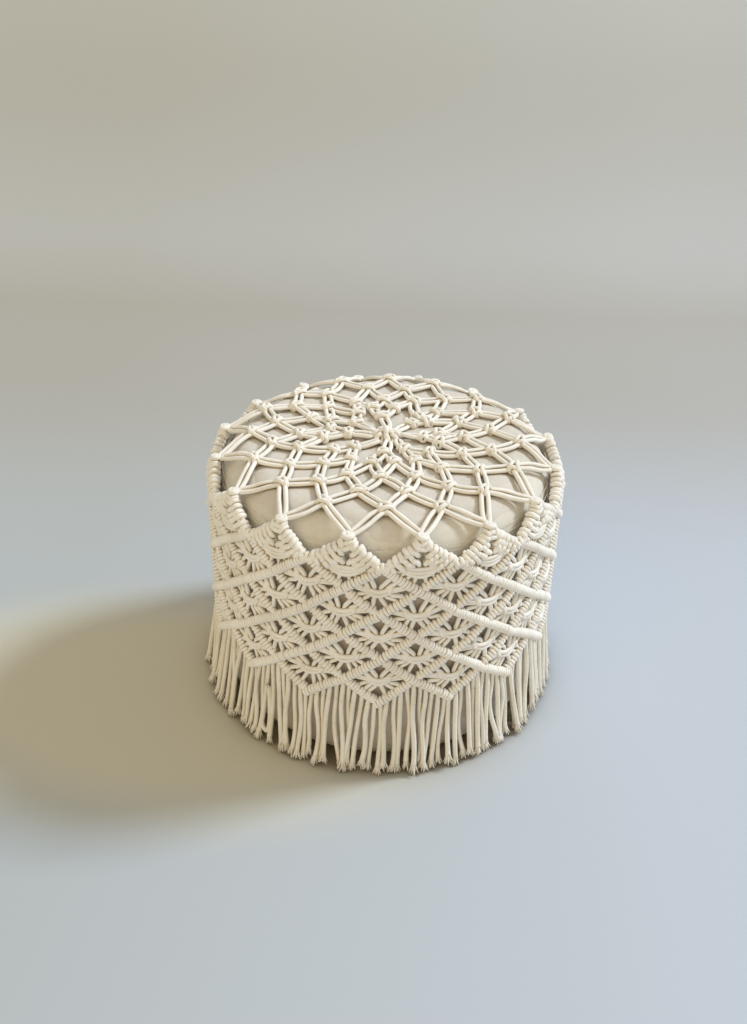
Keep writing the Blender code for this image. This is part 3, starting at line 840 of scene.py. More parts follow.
# ---- the stuffed pouf --------------------------------------------------------------------------
@dataclass
class StuffedPouf:
    """The fabric drum: a crowned top, a side with a rounded foot, and the filled bag inside it."""

    form: PoufForm = FORM
    inset: float = 0.6 * MM
    rows: int = 44
    columns: int = 192
    voxel: float = 7 * MM
    pressure: float = 4.0
    spare_cloth: float = 0.035
    swell_cap: float = 0.5 * MM
    crease_cap: float = 3.0 * MM
    frames: int = 20
    stiffness: float = 0.2
    swell_share: float = 0.5
    cloth: float = 1.2 * MM
    seam: float = 300 * MM
    stitch: float = 4.2 * MM
    stitch_from_seam: float = 3.5 * MM
    thread: float = 0.32 * MM
    bag_inset: float = 3.6 * MM
    bag_foot: float = 9.2 * MM
    filling_inset: float = 5.4 * MM
    filling_foot: float = 10.8 * MM
    filling_lumps: float = 2.5 * MM
    bag_cloth: float = 0.8 * MM

    def outline(self, t: float, inset: float) -> tuple[float, float]:
        """Radius and height of the drum's profile.

        Args:
            t: how far along it, from the middle of the top (0) to the foot (1).
            inset: how far inside the outer shape it lies.

        Returns:
            The radius and the height.
        """
        form = self.form
        arc = form.shoulder * math.pi / 2
        side = form.shoulder_foot - form.base_edge
        corner = form.base_edge * math.pi / 2
        run = t * (form.flat + arc + side + corner)
        if run < form.flat:
            return run, form.dome(run) - inset
        run -= form.flat
        if run < arc:
            turn, size = run / form.shoulder, form.shoulder - inset
            return form.flat + size * math.sin(turn), form.shoulder_foot + size * math.cos(turn)
        run -= arc
        if run < side:
            return form.radius - inset, form.shoulder_foot - run
        turn, size = (run - side) / form.base_edge, form.base_edge - inset
        return form.radius - form.base_edge + size * math.cos(turn), form.base_edge - size * math.sin(turn)

    def drum(self, inset: float, foot: float = 0.0, lumps: float = 0.0,
             smooth: bool = True) -> bpy.types.Mesh:
        """A closed drum.

        Args:
            inset: how far inside the outer shape it lies.
            foot: the lowest that it may reach.
            lumps: how deep its soft lumps are.
            smooth: whether it is shaded smooth.

        Returns:
            Its mesh.
        """
        bm = bmesh.new()
        rings = []
        for row in range(1, self.rows + 1):
            radius, height = self.outline(row / self.rows, inset)
            ring = []
            for c in range(self.columns):
                angle = TURN * c / self.columns
                waves = math.sin(7 * angle + 31 * height) * math.sin(11 * angle - 47 * radius)
                dent = lumps * (1.0 + waves) / 2
                ring.append(bm.verts.new(polar(radius - dent, angle, max(height, foot))))
            rings.append(ring)
        crown = bm.verts.new((0.0, 0.0, self.form.dome(0.0) - inset))
        middle = bm.verts.new((0.0, 0.0, rings[-1][0].co.z))
        for c in range(self.columns):
            following = (c + 1) % self.columns
            bm.faces.new((crown, rings[0][c], rings[0][following]))
            bm.faces.new((middle, rings[-1][following], rings[-1][c]))
            for upper, lower in zip(rings, rings[1:]):
                bm.faces.new((upper[c], lower[c], lower[following], upper[following]))
        return mesh_of(bm, "drum", facing=True, smooth=smooth)

    def outward(self, points: np.ndarray) -> np.ndarray:
        """The outward direction of the drum at points near its surface."""
        form = self.form
        radius = np.hypot(points[:, 0], points[:, 1])
        lean = np.clip((radius - form.flat) / form.shoulder, 0.0, 1.0)
        lean = np.where(points[:, 2] < form.shoulder_foot, 1.0, lean)
        across = points[:, :2] / np.maximum(radius, 1e-9)[:, None] * lean[:, None]
        return np.c_[across, np.sqrt(1.0 - lean ** 2)]

    def stuffed(self) -> bpy.types.Mesh:
        """The drum after its cloth is filled: a short cloth run, then caps on how far it moves."""
        body = bpy.data.objects.new("drum", self.drum(self.inset, smooth=False))
        bpy.context.scene.collection.objects.link(body)
        remesh = body.modifiers.new("even", "REMESH")
        remesh.mode = "VOXEL"
        remesh.voxel_size = self.voxel
        body.data = self.applied(body)
        rest = self.points_of(body.data)
        cloth = body.modifiers.new("stuffing", "CLOTH")
        cloth.settings.use_pressure = True
        cloth.settings.uniform_pressure_force = self.pressure
        cloth.settings.effector_weights.gravity = 0.0
        cloth.settings.shrink_min = -self.spare_cloth
        cloth.settings.bending_stiffness = self.stiffness
        cloth.point_cache.frame_start = 1
        cloth.point_cache.frame_end = self.frames
        for frame in range(1, self.frames + 1):
            bpy.context.scene.frame_set(frame)
        settled = self.points_of(self.applied(body, keep=True))
        body.modifiers.clear()
        bpy.context.scene.frame_set(1)
        move = settled - rest
        outward = self.outward(rest)
        swell = np.sum(move * outward, axis=1)
        swell = swell - np.median(swell)
        swell = np.clip(swell * self.swell_share, -self.crease_cap, self.swell_cap)
        placed = rest + outward * swell[:, None]
        body.data.vertices.foreach_set("co", placed.astype(np.float32).ravel())
        smooth = body.modifiers.new("ease", "SUBSURF")
        smooth.levels = 1
        mesh = self.applied(body)
        bpy.data.objects.remove(body)
        self.pucker(mesh)
        return mesh

    def pucker(self, mesh: bpy.types.Mesh) -> None:
        """Presses the stitched seam into the cloth and runs small puckers off it."""
        points = self.points_of(mesh)
        outward = self.outward(points)
        x, y, z = points.T
        angle = np.arctan2(x, -y)
        near = np.exp(-((z - self.seam) / (8 * MM)) ** 2) * (np.hypot(x, y) > self.form.flat)
        waves = np.sin(angle * 61) + 0.7 * np.sin(angle * 97 + 1.3) + 0.5 * np.sin(angle * 37 + 4.0)
        wander = np.sin(x * 31 + 2 * np.sin(y * 17)) * np.sin(y * 27 + z * 9)
        push = -(near * (0.5 + 0.2 * waves) + 0.25 * (1.0 + wander)) * MM
        placed = points + outward * push[:, None]
        mesh.vertices.foreach_set("co", placed.astype(np.float32).ravel())

    @staticmethod
    def points_of(mesh: bpy.types.Mesh) -> np.ndarray:
        """The mesh's points as an array."""
        points = np.zeros(len(mesh.vertices) * 3, np.float32)
        mesh.vertices.foreach_get("co", points)
        return points.reshape(-1, 3).astype(float)

    @staticmethod
    def applied(body: bpy.types.Object, keep: bool = False) -> bpy.types.Mesh:
        """The body's mesh with its modifiers applied, which are then removed unless kept."""
        graph = bpy.context.evaluated_depsgraph_get()
        mesh = bpy.data.meshes.new_from_object(body.evaluated_get(graph))
        if not keep:
            body.modifiers.clear()
        return mesh

    def panel(self, whole: bpy.types.Mesh, name: str, keep: Callable[[Vector], bool],
              finish: Finish, replaces: str) -> bpy.types.Object:
        """Cuts one panel out of the stuffed drum and gives it the cloth's thickness.

        Args:
            whole: the drum.
            name: the panel's name.
            keep: says for a face's middle whether it belongs to the panel.
            finish: the panel's finish.
            replaces: the CAD node that it stands for.

        Returns:
            The panel.
        """
        bm = bmesh.new()
        bm.from_mesh(whole)
        spare = [face for face in bm.faces if not keep(face.calc_center_median())]
        bmesh.ops.delete(bm, geom=spare, context="FACES")
        made = show(name, mesh_of(bm, name), finish)
        thicken(made, self.cloth)
        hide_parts(replaces)
        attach(made, Body.POUF.value)
        return made

    def stitches(self) -> bpy.types.Object:
        """Two rows of topstitching, one on each side of the top seam."""
        form = self.form
        work = CordWork(self.thread, sides=5, pulled=False)
        size = form.shoulder - self.inset
        for level in (self.seam - self.stitch_from_seam, self.seam + self.stitch_from_seam):
            turn = math.acos((level - form.shoulder_foot) / form.shoulder)
            radius = form.flat + size * math.sin(turn)
            height = form.shoulder_foot + size * math.cos(turn)
            count = int(TURN * radius / self.stitch)
            for k in range(count):
                points = []
                for share, lift in ((0.0, -0.4), (0.2, 0.35), (0.65, 0.35), (0.85, -0.4)):
                    out, up = lift * MM * math.sin(turn), lift * MM * math.cos(turn)
                    points.append(polar(radius + out, (k + share) * TURN / count, height + up))
                work.run(points, spacing=1.4 * MM)
        made = work.mesh_object("top_stitching", STITCH, Slot.FABRIC)
        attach(made, Body.POUF.value)
        return made

    def build(self) -> list[bpy.types.Object]:
        """Makes the fabric panels and their stitching."""
        whole = self.stuffed()
        seam = self.seam
        flat = self.form.radius - self.form.base_edge
        top = self.panel(whole, "fabric_top", lambda c: c.z > seam, FLAT_WEAVE, "top_panel")
        side = self.panel(whole, "fabric_side",
                          lambda c: c.z <= seam and (c.z > 3 * MM or math.hypot(c.x, c.y) > flat),
                          ROUND_WEAVE, "side_panel")
        return [top, side, self.stitches(), *self.inside()]

    def inside(self) -> list[bpy.types.Object]:
        """Makes the calico bag and the fibre that fills it."""
        bag = show("calico_bag", self.drum(self.bag_inset, self.bag_foot), CALICO)
        thicken(bag, self.bag_cloth)
        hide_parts("inner_bag")
        fibre = show("fibre_filling", self.drum(self.filling_inset, self.filling_foot, self.filling_lumps),
                     FIBRE)
        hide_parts("filling")
        for piece in (bag, fibre):
            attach(piece, Body.POUF.value)
        return [bag, fibre]


@dataclass
class QuiltedBase:
    """The base: two quilted halves that meet at the zip."""

    radius: float = 186 * MM
    low: float = 0.3 * MM
    high: float = 5.6 * MM
    edge: float = 1.6 * MM
    quilt: float = 42 * MM
    slot_half: float = 7.2 * MM
    slot_reach: float = 154 * MM
    meeting: float = 0.3 * MM
    corner_trim: float = 0.0005
    least_width: float = 0.2 * MM
    piping_radius: float = 1.7 * MM
    piping_gap: float = 0.4 * MM
    piping_rise: float = 0.2 * MM
    across: int = 110
    deep: int = 40

    def loft(self, x: float, y: float) -> float:
        """How full the quilting is at a place, from 0 in its stitched lines to 1."""
        inner = self.slot_half if abs(x) < self.slot_reach else self.meeting
        room = min(abs(y) - inner, self.radius - math.hypot(x, y))
        rim = 1.0 - math.exp(-max(room, 0.0) / (3 * MM))
        lines = abs(math.sin(math.pi * (x + y) / self.quilt) * math.sin(math.pi * (x - y) / self.quilt))
        return rim * (0.25 + 0.75 * lines ** 0.35)

    def half(self, name: str, side: int, replaces: str) -> bpy.types.Object:
        """One half of the base.

        Args:
            name: its name.
            side: -1 at the front, 1 at the rear.
            replaces: the CAD node that it stands for.

        Returns:
            The piece.
        """
        bm = bmesh.new()
        middle = (self.low + self.high) / 2
        fullness = (self.high - self.low - self.edge) / 2
        sheets = []
        for way in (-1, 1):
            grid = []
            for i in range(self.across + 1):
                x = -self.radius * math.cos(math.pi * i / self.across) * (1.0 - self.corner_trim)
                inner = self.slot_half if abs(x) < self.slot_reach else self.meeting
                outer = max(math.sqrt(self.radius ** 2 - x ** 2), inner + self.least_width)
                line = []
                for j in range(self.deep + 1):
                    y = inner + (outer - inner) * j / self.deep
                    half = self.edge / 2 + fullness * self.loft(x, y)
                    line.append(bm.verts.new((x, side * y, middle + way * half)))
                grid.append(line)
            sheets.append(grid)
        for grid in sheets:
            for i in range(self.across):
                for j in range(self.deep):
                    bm.faces.new((grid[i][j], grid[i + 1][j], grid[i + 1][j + 1], grid[i][j + 1]))
        under, over = sheets
        for j in (0, self.deep):
            for i in range(self.across):
                bm.faces.new((under[i][j], under[i + 1][j], over[i + 1][j], over[i][j]))
        for i in (0, self.across):
            for j in range(self.deep):
                bm.faces.new((under[i][j], under[i][j + 1], over[i][j + 1], over[i][j]))
        made = show(name, mesh_of(bm, name, facing=True), FLAT_WEAVE)
        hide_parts(replaces)
        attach(made, Body.POUF.value)
        return made

    def piping(self) -> bpy.types.Object:
        """The covered cord sewn in where the base meets the side."""
        work = CordWork(self.piping_radius, sides=10, pulled=False)
        ring = self.radius + self.piping_gap
        middle = (0.0, 0.0, self.piping_radius + self.piping_rise)
        work.wrap(middle, (0, 0, 1), (1, 0, 0), ring, ring, steps=240)
        made = work.mesh_object("base_piping", FLAT_WEAVE, Slot.FABRIC)
        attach(made, Body.POUF.value)
        return made

    def build(self) -> list[bpy.types.Object]:
        """Makes both halves and the piping round them."""
        return [self.half("quilted_base_front", -1, "base_panel_front"),
                self.half("quilted_base_rear", 1, "base_panel_rear"), self.piping()]


@dataclass
class BaseZip:
    """The zip across the base: woven tapes, nylon coils, and metal ends, slider and pull."""

    near: float = 1.9 * MM
    far: float = 16.6 * MM
    low: float = 6.1 * MM
    high: float = 6.7 * MM
    reach: float = 149.8 * MM
    coil_middle: float = 1.36 * MM
    coil_across: float = 0.32 * MM
    coil_deep: float = 0.58 * MM
    wire: float = 0.28 * MM
    pitch: float = 1.7 * MM
    steps: int = 120

    def tape(self, name: str, side: int, replaces: str) -> bpy.types.Object:
        """One tape, a thin woven strip with a rounded selvedge.

        Args:
            name: its name.
            side: -1 at the front, 1 at the rear.
            replaces: the CAD node that it stands for.

        Returns:
            The piece.
        """
        middle, half = (self.low + self.high) / 2, (self.high - self.low) / 2
        edge, selvedge = self.near + 0.2 * MM, self.far - 0.4 * MM
        outline = [(self.near, -1), (edge, -1), (selvedge, -1), (self.far, -0.4),
                   (self.far, 0.4), (selvedge, 1), (edge, 1), (self.near, 1)]
        bm = bmesh.new()
        rings = [[bm.verts.new((x, side * y, middle + level * half)) for y, level in outline]
                 for x in np.linspace(-self.reach, self.reach, self.steps + 1)]
        for first, second in zip(rings, rings[1:]):
            for k in range(len(outline)):
                after = (k + 1) % len(outline)
                bm.faces.new((first[k], second[k], second[after], first[after]))
        bm.faces.new(rings[0])
        bm.faces.new(rings[-1])
        made = show(name, mesh_of(bm, name, facing=True, smooth=False), TAPE)
        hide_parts(replaces)
        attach(made, Body.POUF.value)
        return made

    def coil(self, name: str, side: int) -> bpy.types.Object:
        """One coil: close turns of nylon wire along the tape's inner edge."""
        work = CordWork(self.wire, sides=5, pulled=False)
        middle = (self.low + self.high) / 2
        for x in np.arange(-self.reach + self.pitch, self.reach - self.pitch, self.pitch):
            work.wrap((x + side * self.pitch / 4, side * self.coil_middle, middle), (1.0, side * 0.25, 0.0),
                      (0, 0, 1), self.coil_across, self.coil_deep, steps=8)
        made = work.mesh_object(name, NYLON, Slot.NYLON)
        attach(made, Body.POUF.value)
        return made

    def build(self) -> list[bpy.types.Object]:
        """Makes the tapes and their coils."""
        return [self.tape("woven_tape_front", -1, "zip_tape_front"), self.coil("coil_front", -1),
                self.tape("woven_tape_rear", 1, "zip_tape_rear"), self.coil("coil_rear", 1)]

    def dress(self, nodes: dict) -> None:
        """Gives the zip's metal CAD pieces their finish."""
        for name in ("zip_stop_left", "zip_stop_right", "zip_slider", "zip_pull"):
            dress(nodes[name], NICKEL)


# ---- the net over the top ----------------------------------------------------------------------
@dataclass
class TopNet:
    """The net of paired cords: rows of square knots from the scallops' peaks to the middle."""

    form: PoufForm = FORM
    cord: float = 2.7 * MM
    rim: float = 198.5 * MM
    rim_rise: float = 2.0 * MM
    rows: tuple = (161 * MM, 131 * MM, 98 * MM, 68 * MM)
    hub: float = 45 * MM
    start: float = 17 * MM
    pair: float = 4.0 * MM
    float_gap: float = 0.5 * MM
    knot_size: float = 1.06
    drift: tuple = (-5.0 * MM, 2.0 * MM)
    seed: int = 11

    def level(self, radius: float) -> float:
        """Height of the middle of a cord that lies on the top."""
        form = self.form
        lift = self.cord + self.float_gap
        if radius <= form.flat:
            return form.dome(radius) + lift
        reach = form.shoulder + lift
        return form.shoulder_foot + math.sqrt(max(reach ** 2 - (radius - form.flat) ** 2, 0.0))

    def on_top(self, radius: float, angle: float) -> np.ndarray:
        """Point of the net on the top, a little off centre at the sides as the net lies on the pouf."""
        x, y, _ = polar(radius, angle, 0.0)
        share = max(0.0, 1.0 - (y / self.rows[0]) ** 2) * math.sin(math.pi * min(radius / self.rim, 1.0))
        x, y = x + self.drift[0] * share, y + self.drift[1] * share
        return np.array((x, y, self.level(math.hypot(x, y))))

    def places(self, rng: np.random.Generator) -> list[list[np.ndarray]]:
        """The knots of each row, with the small shifts of handwork."""
        step = self.form.step
        rim = []
        for k in range(self.form.repeats):
            angle = (k + 0.5) * step
            rim.append(polar(self.rim, angle, self.form.peak_at(angle) + self.rim_rise))
        rows = [rim]
        for index, radius in enumerate(self.rows):
            row = []
            for k in range(self.form.repeats):
                r = radius + rng.normal(0.0, 1.5 + 0.6 * index) * MM
                a = (k + 0.5 * (index % 2)) * step + rng.normal(0.0, 1.5 + 0.5 * index) * MM / radius
                row.append(self.on_top(r, a))
            rows.append(row)
        hub = [self.on_top(self.hub + rng.normal(0.0, 3.0) * MM, 2 * j * step + rng.normal(0.0, 0.08))
               for j in range(self.form.repeats // 2)]
        return [*rows, hub]

    def span(self, work: CordWork, start: np.ndarray, end: np.ndarray, rng: np.random.Generator) -> None:
        """Lays a pair of cords from knot to knot, over the curve of the top."""
        along = unit(end - start)
        slack = rng.normal(0.0, 1.0) * MM
        for side in (-1, 1):
            wide = self.pair + rng.normal(0.0, 0.5) * MM
            points = []
            for t in (0.0, 0.14, 0.32, 0.5, 0.68, 0.86, 1.0):
                p = start + (end - start) * t
                outward = outward_at(p)
                across = unit(np.cross(along, np.array((0.0, 0.0, 1.0)) + outward * 0.25))
                spread = 0.55 + 0.45 * math.sin(math.pi * t) ** 0.6
                p = p + across * (side * wide * spread + slack * math.sin(math.pi * t))
                p[2] = max(p[2], self.level(min(math.hypot(p[0], p[1]), self.form.radius)))
                points.append(p)
            work.run(points, thick=rng.uniform(0.94, 1.05))

    def knot(self, work: CordWork, at: np.ndarray, rng: np.random.Generator, size: float = 1.0) -> None:
        """Ties one square knot, whose fillers run towards the middle of the top."""
        inward = -outward_at(at)
        size *= self.knot_size
        tilt = min(max(math.hypot(at[0], at[1]) - 0.15, 0.0) / 0.1, 0.5)
        up = unit(np.array((0.0, 0.0, 1.0)) - tilt * inward)
        inward = unit(inward + up * tilt * 0.6)
        side = unit(np.cross(inward, up))
        lean = rng.normal(0.0, 0.18)
        for k, shift in enumerate((-2.9 * MM, 2.9 * MM)):
            axis = inward + side * ((0.30 if k else -0.30) + lean)
            centre = at + inward * shift * size + side * rng.normal(0.0, 0.5) * MM + up * 0.8 * MM
            work.wrap(centre, axis, up, 6.2 * MM * size, 3.9 * MM * size, thick=1.0)
        work.run([at - inward * 6.5 * MM * size, at, at + inward * 6.5 * MM * size], thick=[1.0, 1.45, 1.0])
        for bump in (-1, 1):
            grow = size * rng.uniform(0.85, 1.1)
            centre = at + side * bump * 5.8 * MM * size + up * 0.6 * MM
            work.wrap(centre, side + inward * rng.normal(0.0, 0.4), inward, 4.0 * MM * grow, 3.0 * MM * grow,
                      thick=0.85, steps=10)

    def build(self) -> list[bpy.types.Object]:
        """Makes the net and its knots."""
        rng = np.random.default_rng(self.seed)
        rows = self.places(rng)
        count = self.form.repeats
        spans, knots = CordWork(self.cord), CordWork(self.cord)
        for index in range(len(rows) - 2):
            outer, inner = rows[index], rows[index + 1]
            for k in range(count):
                other = (k + 1) % count if index % 2 == 0 else (k - 1) % count
                self.span(spans, outer[k], inner[k], rng)
                self.span(spans, outer[k], inner[other], rng)
        halves, hub = rows[-2], rows[-1]
        for k in range(count):
            self.span(spans, halves[k], hub[((k + 1) // 2) % len(hub)], rng)
        for j, at in enumerate(hub):
            angle = 2 * j * self.form.step + rng.normal(0.0, 0.1)
            self.span(spans, at, polar(self.start, angle, self.level(self.start) + 2 * MM), rng)
        for row in rows[1:]:
            for at in row:
                self.knot(knots, at, rng, rng.uniform(0.9, 1.08))
        made = [spans.mesh_object("net_cords"), knots.mesh_object("net_knots")]
        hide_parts("top_net")
        for piece in made:
            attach(piece, Body.COVER.value)
        return made


@dataclass
class CentreRosette:
    """The gathering knot in the middle of the net.

    Each ring gives its lumps' number, and in millimetres their distance from the middle, their
    height above the fabric, and half their width and depth.
    """

    form: PoufForm = FORM
    cord: float = 3 * MM
    rings: tuple = ((8, 10.8, 5.6, 3.6, 4.0), (5, 5.0, 9.6, 3.2, 3.4), (1, 0.6, 11.6, 3.0, 2.8))
    ends: int = 8
    seed: int = 23

    def build(self) -> list[bpy.types.Object]:
        """Makes the knot: rings of lumps round a core, and the ends that go under."""
        rng = np.random.default_rng(self.seed)
        work = CordWork(self.cord)
        floor = self.form.dome(0.0)
        work.run([polar(0, 0, floor + rise * MM) for rise in (2, 6, 10)], thick=[2.8, 2.6, 1.8])
        for count, radius, rise, across, deep in self.rings:
            for k in range(count):
                angle = TURN * k / count + rng.normal(0.0, 0.14)
                grow = rng.uniform(0.88, 1.12)
                out = (radius + rng.normal(0.0, 0.6)) * MM
                centre = polar(out, angle, floor + (rise + rng.normal(0.0, 0.5)) * MM)
                work.wrap(centre, polar(1, angle + math.pi / 2 + rng.normal(0.0, 0.35), 0.3), (0, 0, 1),
                          across * grow * MM, deep * grow * MM, thick=rng.uniform(1.0, 1.2))
        for k in range(self.ends):
            angle = TURN * (k + 0.5) / self.ends + rng.normal(0.0, 0.12)
            work.run([polar(7 * MM, angle, floor + 6 * MM), polar(13 * MM, angle + 0.12, floor + 4.6 * MM),
                      polar(18.5 * MM, angle + rng.normal(0.1, 0.25), floor + 3.2 * MM)])
        made = work.mesh_object("centre_rosette")
        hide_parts("centre_knot")
        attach(made, Body.COVER.value)
        return [made]


# ---- the knotted sleeve ------------------------------------------------------------------------
@dataclass
class KnottedSleeve:
    """The sleeve: scallops along the top, a lattice of wrapped bars, and knots in its diamonds.

    Each row of hitches under a scallop's edge gives their number, and in millimetres where the
    first one is, how far apart they are, and how far below the edge the row lies.
    """

    form: PoufForm = FORM
    cord: float = 2.5 * MM
    wrap_cord: float = 2.25 * MM
    pitch: float = 4.15 * MM
    bar_across: float = 3.9 * MM
    bar_deep: float = 3.4 * MM
    bar_out: float = 2.7 * MM
    turn_on_top: float = math.radians(10)
    crossings: int = 6
    clear_of_crossing: float = 6.5 * MM
    clear_of_tip: float = 4.5 * MM
    hitch_rows: tuple = ((6, 6.6, 5.3, 2.6), (5, 7.6, 5.4, 9.6), (3, 8.2, 5.6, 16.4))
    seed: int = 5

    @property
    def reach(self) -> float:
        """Angle that a bar runs round the sleeve on its way down."""
        return self.crossings / 2 * self.form.step

    @property
    def half(self) -> float:
        """Half the width of one repeat, along the sleeve."""
        return self.form.step / 2 * self.form.sleeve

    @property
    def drop(self) -> float:
        """Height from one row of crossings to the next."""
        return (self.form.valley - self.form.tip) / self.crossings

    def placer(self, angle: float, top: float) -> Callable[[float, float, float], np.ndarray]:
        """Gives a way to place points on the sleeve from one spot on it.

        Args:
            angle: the spot's angle.
            top: the spot's height.

        Returns:
            A function of the distances across, down and out from the spot.
        """
        form = self.form
        return lambda x, y, out: form.on_sleeve(angle + x / form.sleeve, top - y, out)

    def bar_point(self, valley: int, way: int, t: float, out: float = 0.0) -> np.ndarray:
        """Point on a bar.

        Args:
            valley: the number of the valley that it starts from.
            way: 1 if it goes down towards +X from the front, -1 if towards -X.
            t: how far down it, from 0 to 1.
            out: distance outside its middle.

        Returns:
            The point.
        """
        height = self.form.valley + (self.form.tip - self.form.valley) * t
        return self.form.on_sleeve(valley * self.form.step + way * self.reach * t, height, self.bar_out + out)

    def on_top(self, angle: float) -> int:
        """Which way's bars pass on top at an angle round the sleeve."""
        wrapped = (angle + math.pi) % TURN - math.pi
        return -1 if wrapped < self.turn_on_top else 1

    def bar(self, work: CordWork, valley: int, way: int, rng: np.random.Generator) -> None:
        """One bar: a core cord and the turns of the cords hitched over it.

        Args:
            work: takes the cords.
            valley: the number of the valley that it starts from.
            way: 1 if it goes down towards +X from the front, -1 if towards -X.
            rng: the shifts of handwork.
        """
        length = math.hypot(self.reach * self.form.sleeve, self.form.valley - self.form.tip)
        count = round(length / self.pitch)
        for k in range(count + 1):
            t = (k + 0.5 + rng.normal(0.0, 0.06)) / count
            near = round(t * self.crossings)
            away = abs(t - near / self.crossings) * length
            over = self.on_top((valley + way * near / 2) * self.form.step) == way
            clear = self.clear_of_crossing if near < self.crossings else self.clear_of_tip
            if near > 0 and not over and away < clear:
                continue
            lift = (1.4 if over else -1.2) * MM * math.exp(-(away / (11 * MM)) ** 2) * min(near, 1)
            centre = self.bar_point(valley, way, t, lift)
            along = unit(self.bar_point(valley, way, t + 0.01) - self.bar_point(valley, way, t - 0.01))
            out = outward_at(centre)
            lean = (0.10 if k % 2 else 0.02) + rng.normal(0.0, 0.04)
            grow = rng.uniform(0.95, 1.06)
            work.wrap(centre, along + np.cross(along, out) * lean, out, self.bar_across * grow,
                      self.bar_deep * grow, thick=rng.uniform(0.96, 1.05), steps=11)
        path = [self.bar_point(valley, way, t, 0.2 * MM) for t in np.linspace(0.0, 1.014, 26)]
        work.run(path, thick=1.75, spacing=7 * MM)

    def bars(self, rng: np.random.Generator) -> list[tuple[str, CordWork]]:
        """All thirty-two bars, as four pieces of mesh."""
        works = []
        count = self.form.repeats
        for way, word in ((-1, "falling_left"), (1, "falling_right")):
            for part, valleys in (("right", range(count // 2)), ("left", range(count // 2, count))):
                work = CordWork(self.wrap_cord, sides=7)
                for valley in valleys:
                    self.bar(work, valley, way, rng)
                works.append((f"bars_{word}_{part}", work))
        return works

    def diamond(self, work: CordWork, angle: float, top: float, rng: np.random.Generator) -> None:
        """Fills one diamond between the bars: cords gathered into a wide square knot and let out again.

        Args:
            work: takes the cords.
            angle: the angle of the diamond's middle.
            top: the height of its top corner.
            rng: the shifts of handwork.
        """
        at = self.placer(angle, top)
        height = 2 * self.drop
        slope = self.drop / self.half
        middle = self.drop + rng.normal(1.0, 0.9) * MM
        shift = rng.normal(0.0, 1.2) * MM
        reach = rng.uniform(14.0, 16.5) * MM

        for side in (-1, 1):
            for k in range(3):
                x = (11.5 + 7.2 * k + rng.normal(0.0, 1.2)) * MM
                gather = (3.0 + 4.6 * k) * MM
                rise = slope * x
                points = [at(side * x, rise + 2.0 * MM, 0.4 * MM),
                          at(side * (x * 0.88), rise + 6.0 * MM, 0.8 * MM),
                          at(side * gather * 1.35 + shift, middle - (7.0 - 1.6 * k) * MM, 0.6 * MM),
                          at(side * gather + shift, middle - 0.5 * MM, -0.8 * MM)]
                work.run(points, thick=rng.uniform(1.0, 1.18))
            for k in range(3):
                x = (8.5 + 7.6 * k + rng.normal(0.0, 1.3)) * MM
                gather = (2.6 + 4.6 * k) * MM
                rise = height - slope * x
                points = [at(side * gather + shift, middle + 2 * MM, -0.8 * MM),
                          at(side * (gather * 1.3) + shift, middle + (8.0 - 2.0 * k) * MM, 0.6 * MM),
                          at(side * (x * 0.92), rise - 6.0 * MM, 0.6 * MM),
                          at(side * x, rise - 1.5 * MM, 0.2 * MM)]
                work.run(points, thick=rng.uniform(1.0, 1.18))
            far = (32.0 + rng.normal(0.0, 0.8)) * MM
            for k, fall in enumerate((1.2 * MM, 4.4 * MM)):
                work.run([at(side * (far - 2.5 * MM * k), slope * far + (1.0 + 3.8 * k) * MM, -0.2 * MM),
                          at(side * (far - 7 * MM), slope * far + (2.4 + 2.9 * k) * MM, 0.2 * MM),
                          at(side * reach * 0.95 + shift, middle - 5.4 * MM + fall, 1.0 * MM),
                          at(side * reach * 0.7 + shift, middle - 3.6 * MM + fall, 0.4 * MM)], thick=0.96)
        for row, fall in enumerate((-2.4 * MM, 2.4 * MM)):
            sag = (4.2 + rng.normal(0.0, 0.6)) * MM
            tip = reach * (1.0 if row == 0 else 0.82)
            half = ((1.0, -1.0, -0.6), (0.86, -0.72, 1.6), (0.4, 0.02, 3.3))
            swag = [*((-x, y, out) for x, y, out in half), (0.0, 0.2, 3.8), *half[::-1]]
            points = [at(tip * x + shift, middle + fall + sag * y, out * MM) for x, y, out in swag]
            work.run(points, thick=rng.uniform(1.08, 1.2), spacing=3 * MM)
        for side in (-1, 1):
            centre = at(side * reach * 0.84 + shift, middle - 2.4 * MM, 0.6 * MM)
            out = outward_at(centre)
            across = np.cross(out, (0, 0, 1.0)) + np.array((0, 0, 0.5 * side + rng.normal(0.0, 0.12)))
            work.wrap(centre, across, out, 4.6 * MM, 2.9 * MM, thick=0.95, steps=11)

    def diamonds(self, rng: np.random.Generator) -> list[tuple[str, CordWork]]:
        """The knots in the lattice, as two pieces of mesh."""
        works = [(f"diamond_knots_{side}", CordWork(self.cord, sides=7)) for side in ("right", "left")]
        for k in range(self.form.repeats):
            _, work = works[0 if k < self.form.repeats // 2 else 1]
            for level in range(self.crossings - 1):
                column = k + 0.5 * (level % 2)
                self.diamond(work, column * self.form.step, self.form.valley - level * self.drop, rng)
        return works

    def scallop(self, work: CordWork, index: int, rng: np.random.Generator) -> None:
        """One scallop: a peak knot, thick wrapped bars down to the valleys, and a wide band.

        Args:
            work: takes the cords.
            index: the scallop's number.
            rng: the shifts of handwork.
        """
        form = self.form
        angle = (index + 0.5) * form.step
        peak = form.peak_at(angle)
        at = self.placer(angle, peak)
        fall = peak - form.valley
        slope = fall / self.half

